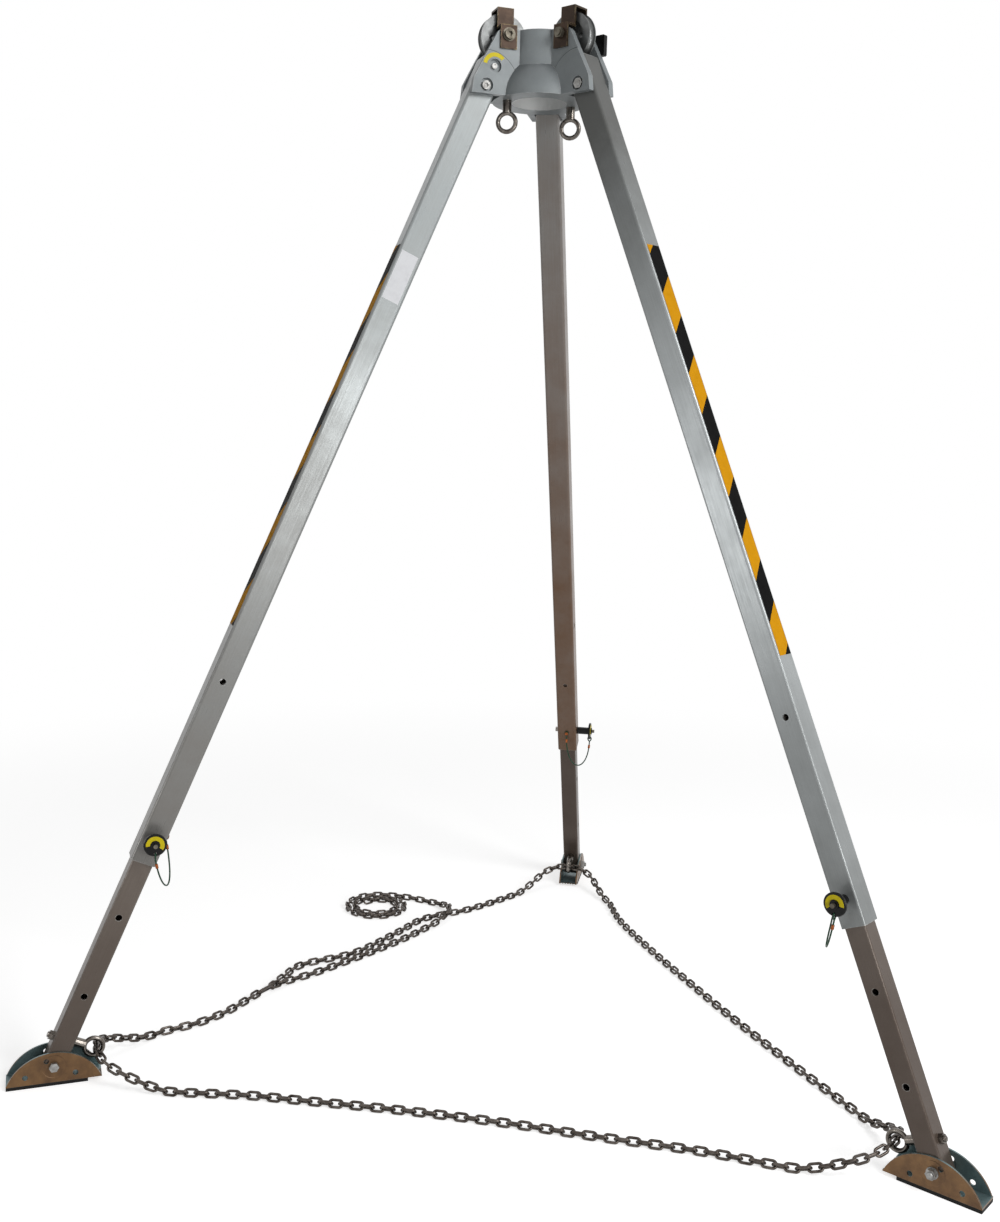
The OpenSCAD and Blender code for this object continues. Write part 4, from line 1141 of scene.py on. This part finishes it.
class SCENE_OT_tripod_head(bpy.types.Operator):
    """Finishes the head casting, its labels, its guide, its rope keepers and its pulleys."""

    bl_idname = "scene.tripod_head"
    bl_label = "Head"

    def execute(self, context):
        scene = context.scene
        leg, head, finish = scene.tripod_leg, scene.tripod_head, scene.tripod_finish
        leg_frames = [LegFrame(leg, side) for side in LEGS]
        coat(paint_finish("Silver grey paint", head, leg_frames, finish), "head_casting")
        coat(moulded_finish("Black guide", finish), "cable_guide")
        coat(moulded_finish("Arc labels", finish), "release_labels")
        coat(metal_finish("keeper", finish), "rope_keepers")
        coat(metal_finish("sheave", finish), "pulley_left", "pulley_right")
        return {"FINISHED"}


class SCENE_OT_tripod_metalwork(bpy.types.Operator):
    """Finishes bolts, eyebolts, pins, buttons and the floor chain, and threads the free bolt ends."""

    bl_idname = "scene.tripod_metalwork"
    bl_label = "Metalwork and chain"

    def execute(self, context):
        scene = context.scene
        leg, thread, finish = scene.tripod_leg, scene.tripod_thread, scene.tripod_finish
        steel = metal_finish("steel", finish)
        bolts = metal_finish("bolt", finish)
        spans = ("chain_front", "chain_right", "chain_left", "chain_floor")
        coat(metal_finish("chain", finish), *spans, "chain_tail", "chain_hook")
        coat(metal_finish("axle", finish), "pulley_axles", *each_leg("pin_button_"))
        coat(steel, "head_eyebolts", *each_leg("leg_eyebolt_"), *each_leg("lock_pin_"))
        coat(bolts, "leg_pivot_bolts", *each_leg("foot_bolt_"), *each_leg("release_button_"))
        for side in LEGS:
            self.threads(side, LegFrame(leg, side), thread, steel, bolts)
        return {"FINISHED"}

    def threads(self, side, leg_frame, thread, steel, bolts):
        """Threads beyond the nuts of the foot bolt and the leg's eyebolt."""
        foot_axis, eye_axis = -leg_frame.along, leg_frame.out
        foot_start = leg_frame.foot + foot_axis * thread.foot_start
        foot = thread_end("foot_bolt_thread_" + side, foot_start, foot_axis, thread.foot_span, thread)
        dress(foot, bolts, "inner_" + side)
        eye_start = leg_frame.eye + eye_axis * thread.eye_start
        eye = thread_end("eyebolt_thread_" + side, eye_start, eye_axis, thread.eye_span, thread)
        dress(eye, steel, "inner_" + side)


class SCENE_OT_tripod_feet(bpy.types.Operator):
    """Finishes the foot channels and their rubber pads."""

    bl_idname = "scene.tripod_feet"
    bl_label = "Feet"

    def execute(self, context):
        scene = context.scene
        leg, finish = scene.tripod_leg, scene.tripod_finish
        coat(moulded_finish("Rubber pad", finish), *each_leg("foot_pad_"))
        for side in LEGS:
            plated = plate_finish("Yellow zinc " + side, leg, LegFrame(leg, side), finish)
            coat(plated, "foot_channel_" + side)
        return {"FINISHED"}


class SCENE_OT_tripod_pins(bpy.types.Operator):
    """Finishes the lock pins' knobs and bare labels."""

    bl_idname = "scene.tripod_pins"
    bl_label = "Lock pins"

    def execute(self, context):
        finish = context.scene.tripod_finish
        coat(moulded_finish("Black knob", finish), *each_leg("pin_knob_"))
        coat(moulded_finish("Pin labels", finish), *each_leg("pin_label_"))
        return {"FINISHED"}


class VIEW3D_PT_tripod(bpy.types.Panel):
    """Lists the tripod's sizes, colours and making steps."""

    bl_label = "Rescue tripod"
    bl_idname = "VIEW3D_PT_tripod"
    bl_space_type = "VIEW_3D"
    bl_region_type = "UI"
    bl_category = "Tripod"

    def draw(self, context):
        layout = self.layout
        for operator in OPERATORS:
            layout.operator(operator.bl_idname)
        for key in SETTINGS:
            box = layout.box()
            group = getattr(context.scene, key)
            for name in group.bl_rna.properties.keys():
                if name not in {"rna_type", "name"}:
                    box.prop(group, name)


SETTINGS = {
    "tripod_stage": TripodStage,
    "tripod_leg": TripodLeg,
    "tripod_head": TripodHead,
    "tripod_thread": TripodThread,
    "tripod_lanyard": TripodLanyard,
    "tripod_finish": TripodFinish,
}
OPERATORS = (
    SCENE_OT_tripod_stage,
    SCENE_OT_tripod_lanyards,
    SCENE_OT_tripod_tubes,
    SCENE_OT_tripod_head,
    SCENE_OT_tripod_metalwork,
    SCENE_OT_tripod_feet,
    SCENE_OT_tripod_pins,
)
CLASSES = (*SETTINGS.values(), *OPERATORS, VIEW3D_PT_tripod)


def register():
    """Registers the classes and hangs the settings on the scene."""
    for cls in CLASSES:
        bpy.utils.register_class(cls)
    for key, cls in SETTINGS.items():
        setattr(bpy.types.Scene, key, PointerProperty(type=cls))


def unregister():
    """Takes the settings and classes away again."""
    for key in SETTINGS:
        delattr(bpy.types.Scene, key)
    for cls in reversed(CLASSES):
        bpy.utils.unregister_class(cls)


def main():
    """Makes every piece in order."""
    register()
    make_groups()
    bpy.ops.scene.tripod_stage()
    bpy.ops.scene.tripod_lanyards()
    bpy.ops.scene.tripod_tubes()
    bpy.ops.scene.tripod_head()
    bpy.ops.scene.tripod_metalwork()
    bpy.ops.scene.tripod_feet()
    bpy.ops.scene.tripod_pins()


if __name__ == "__main__":
    main()
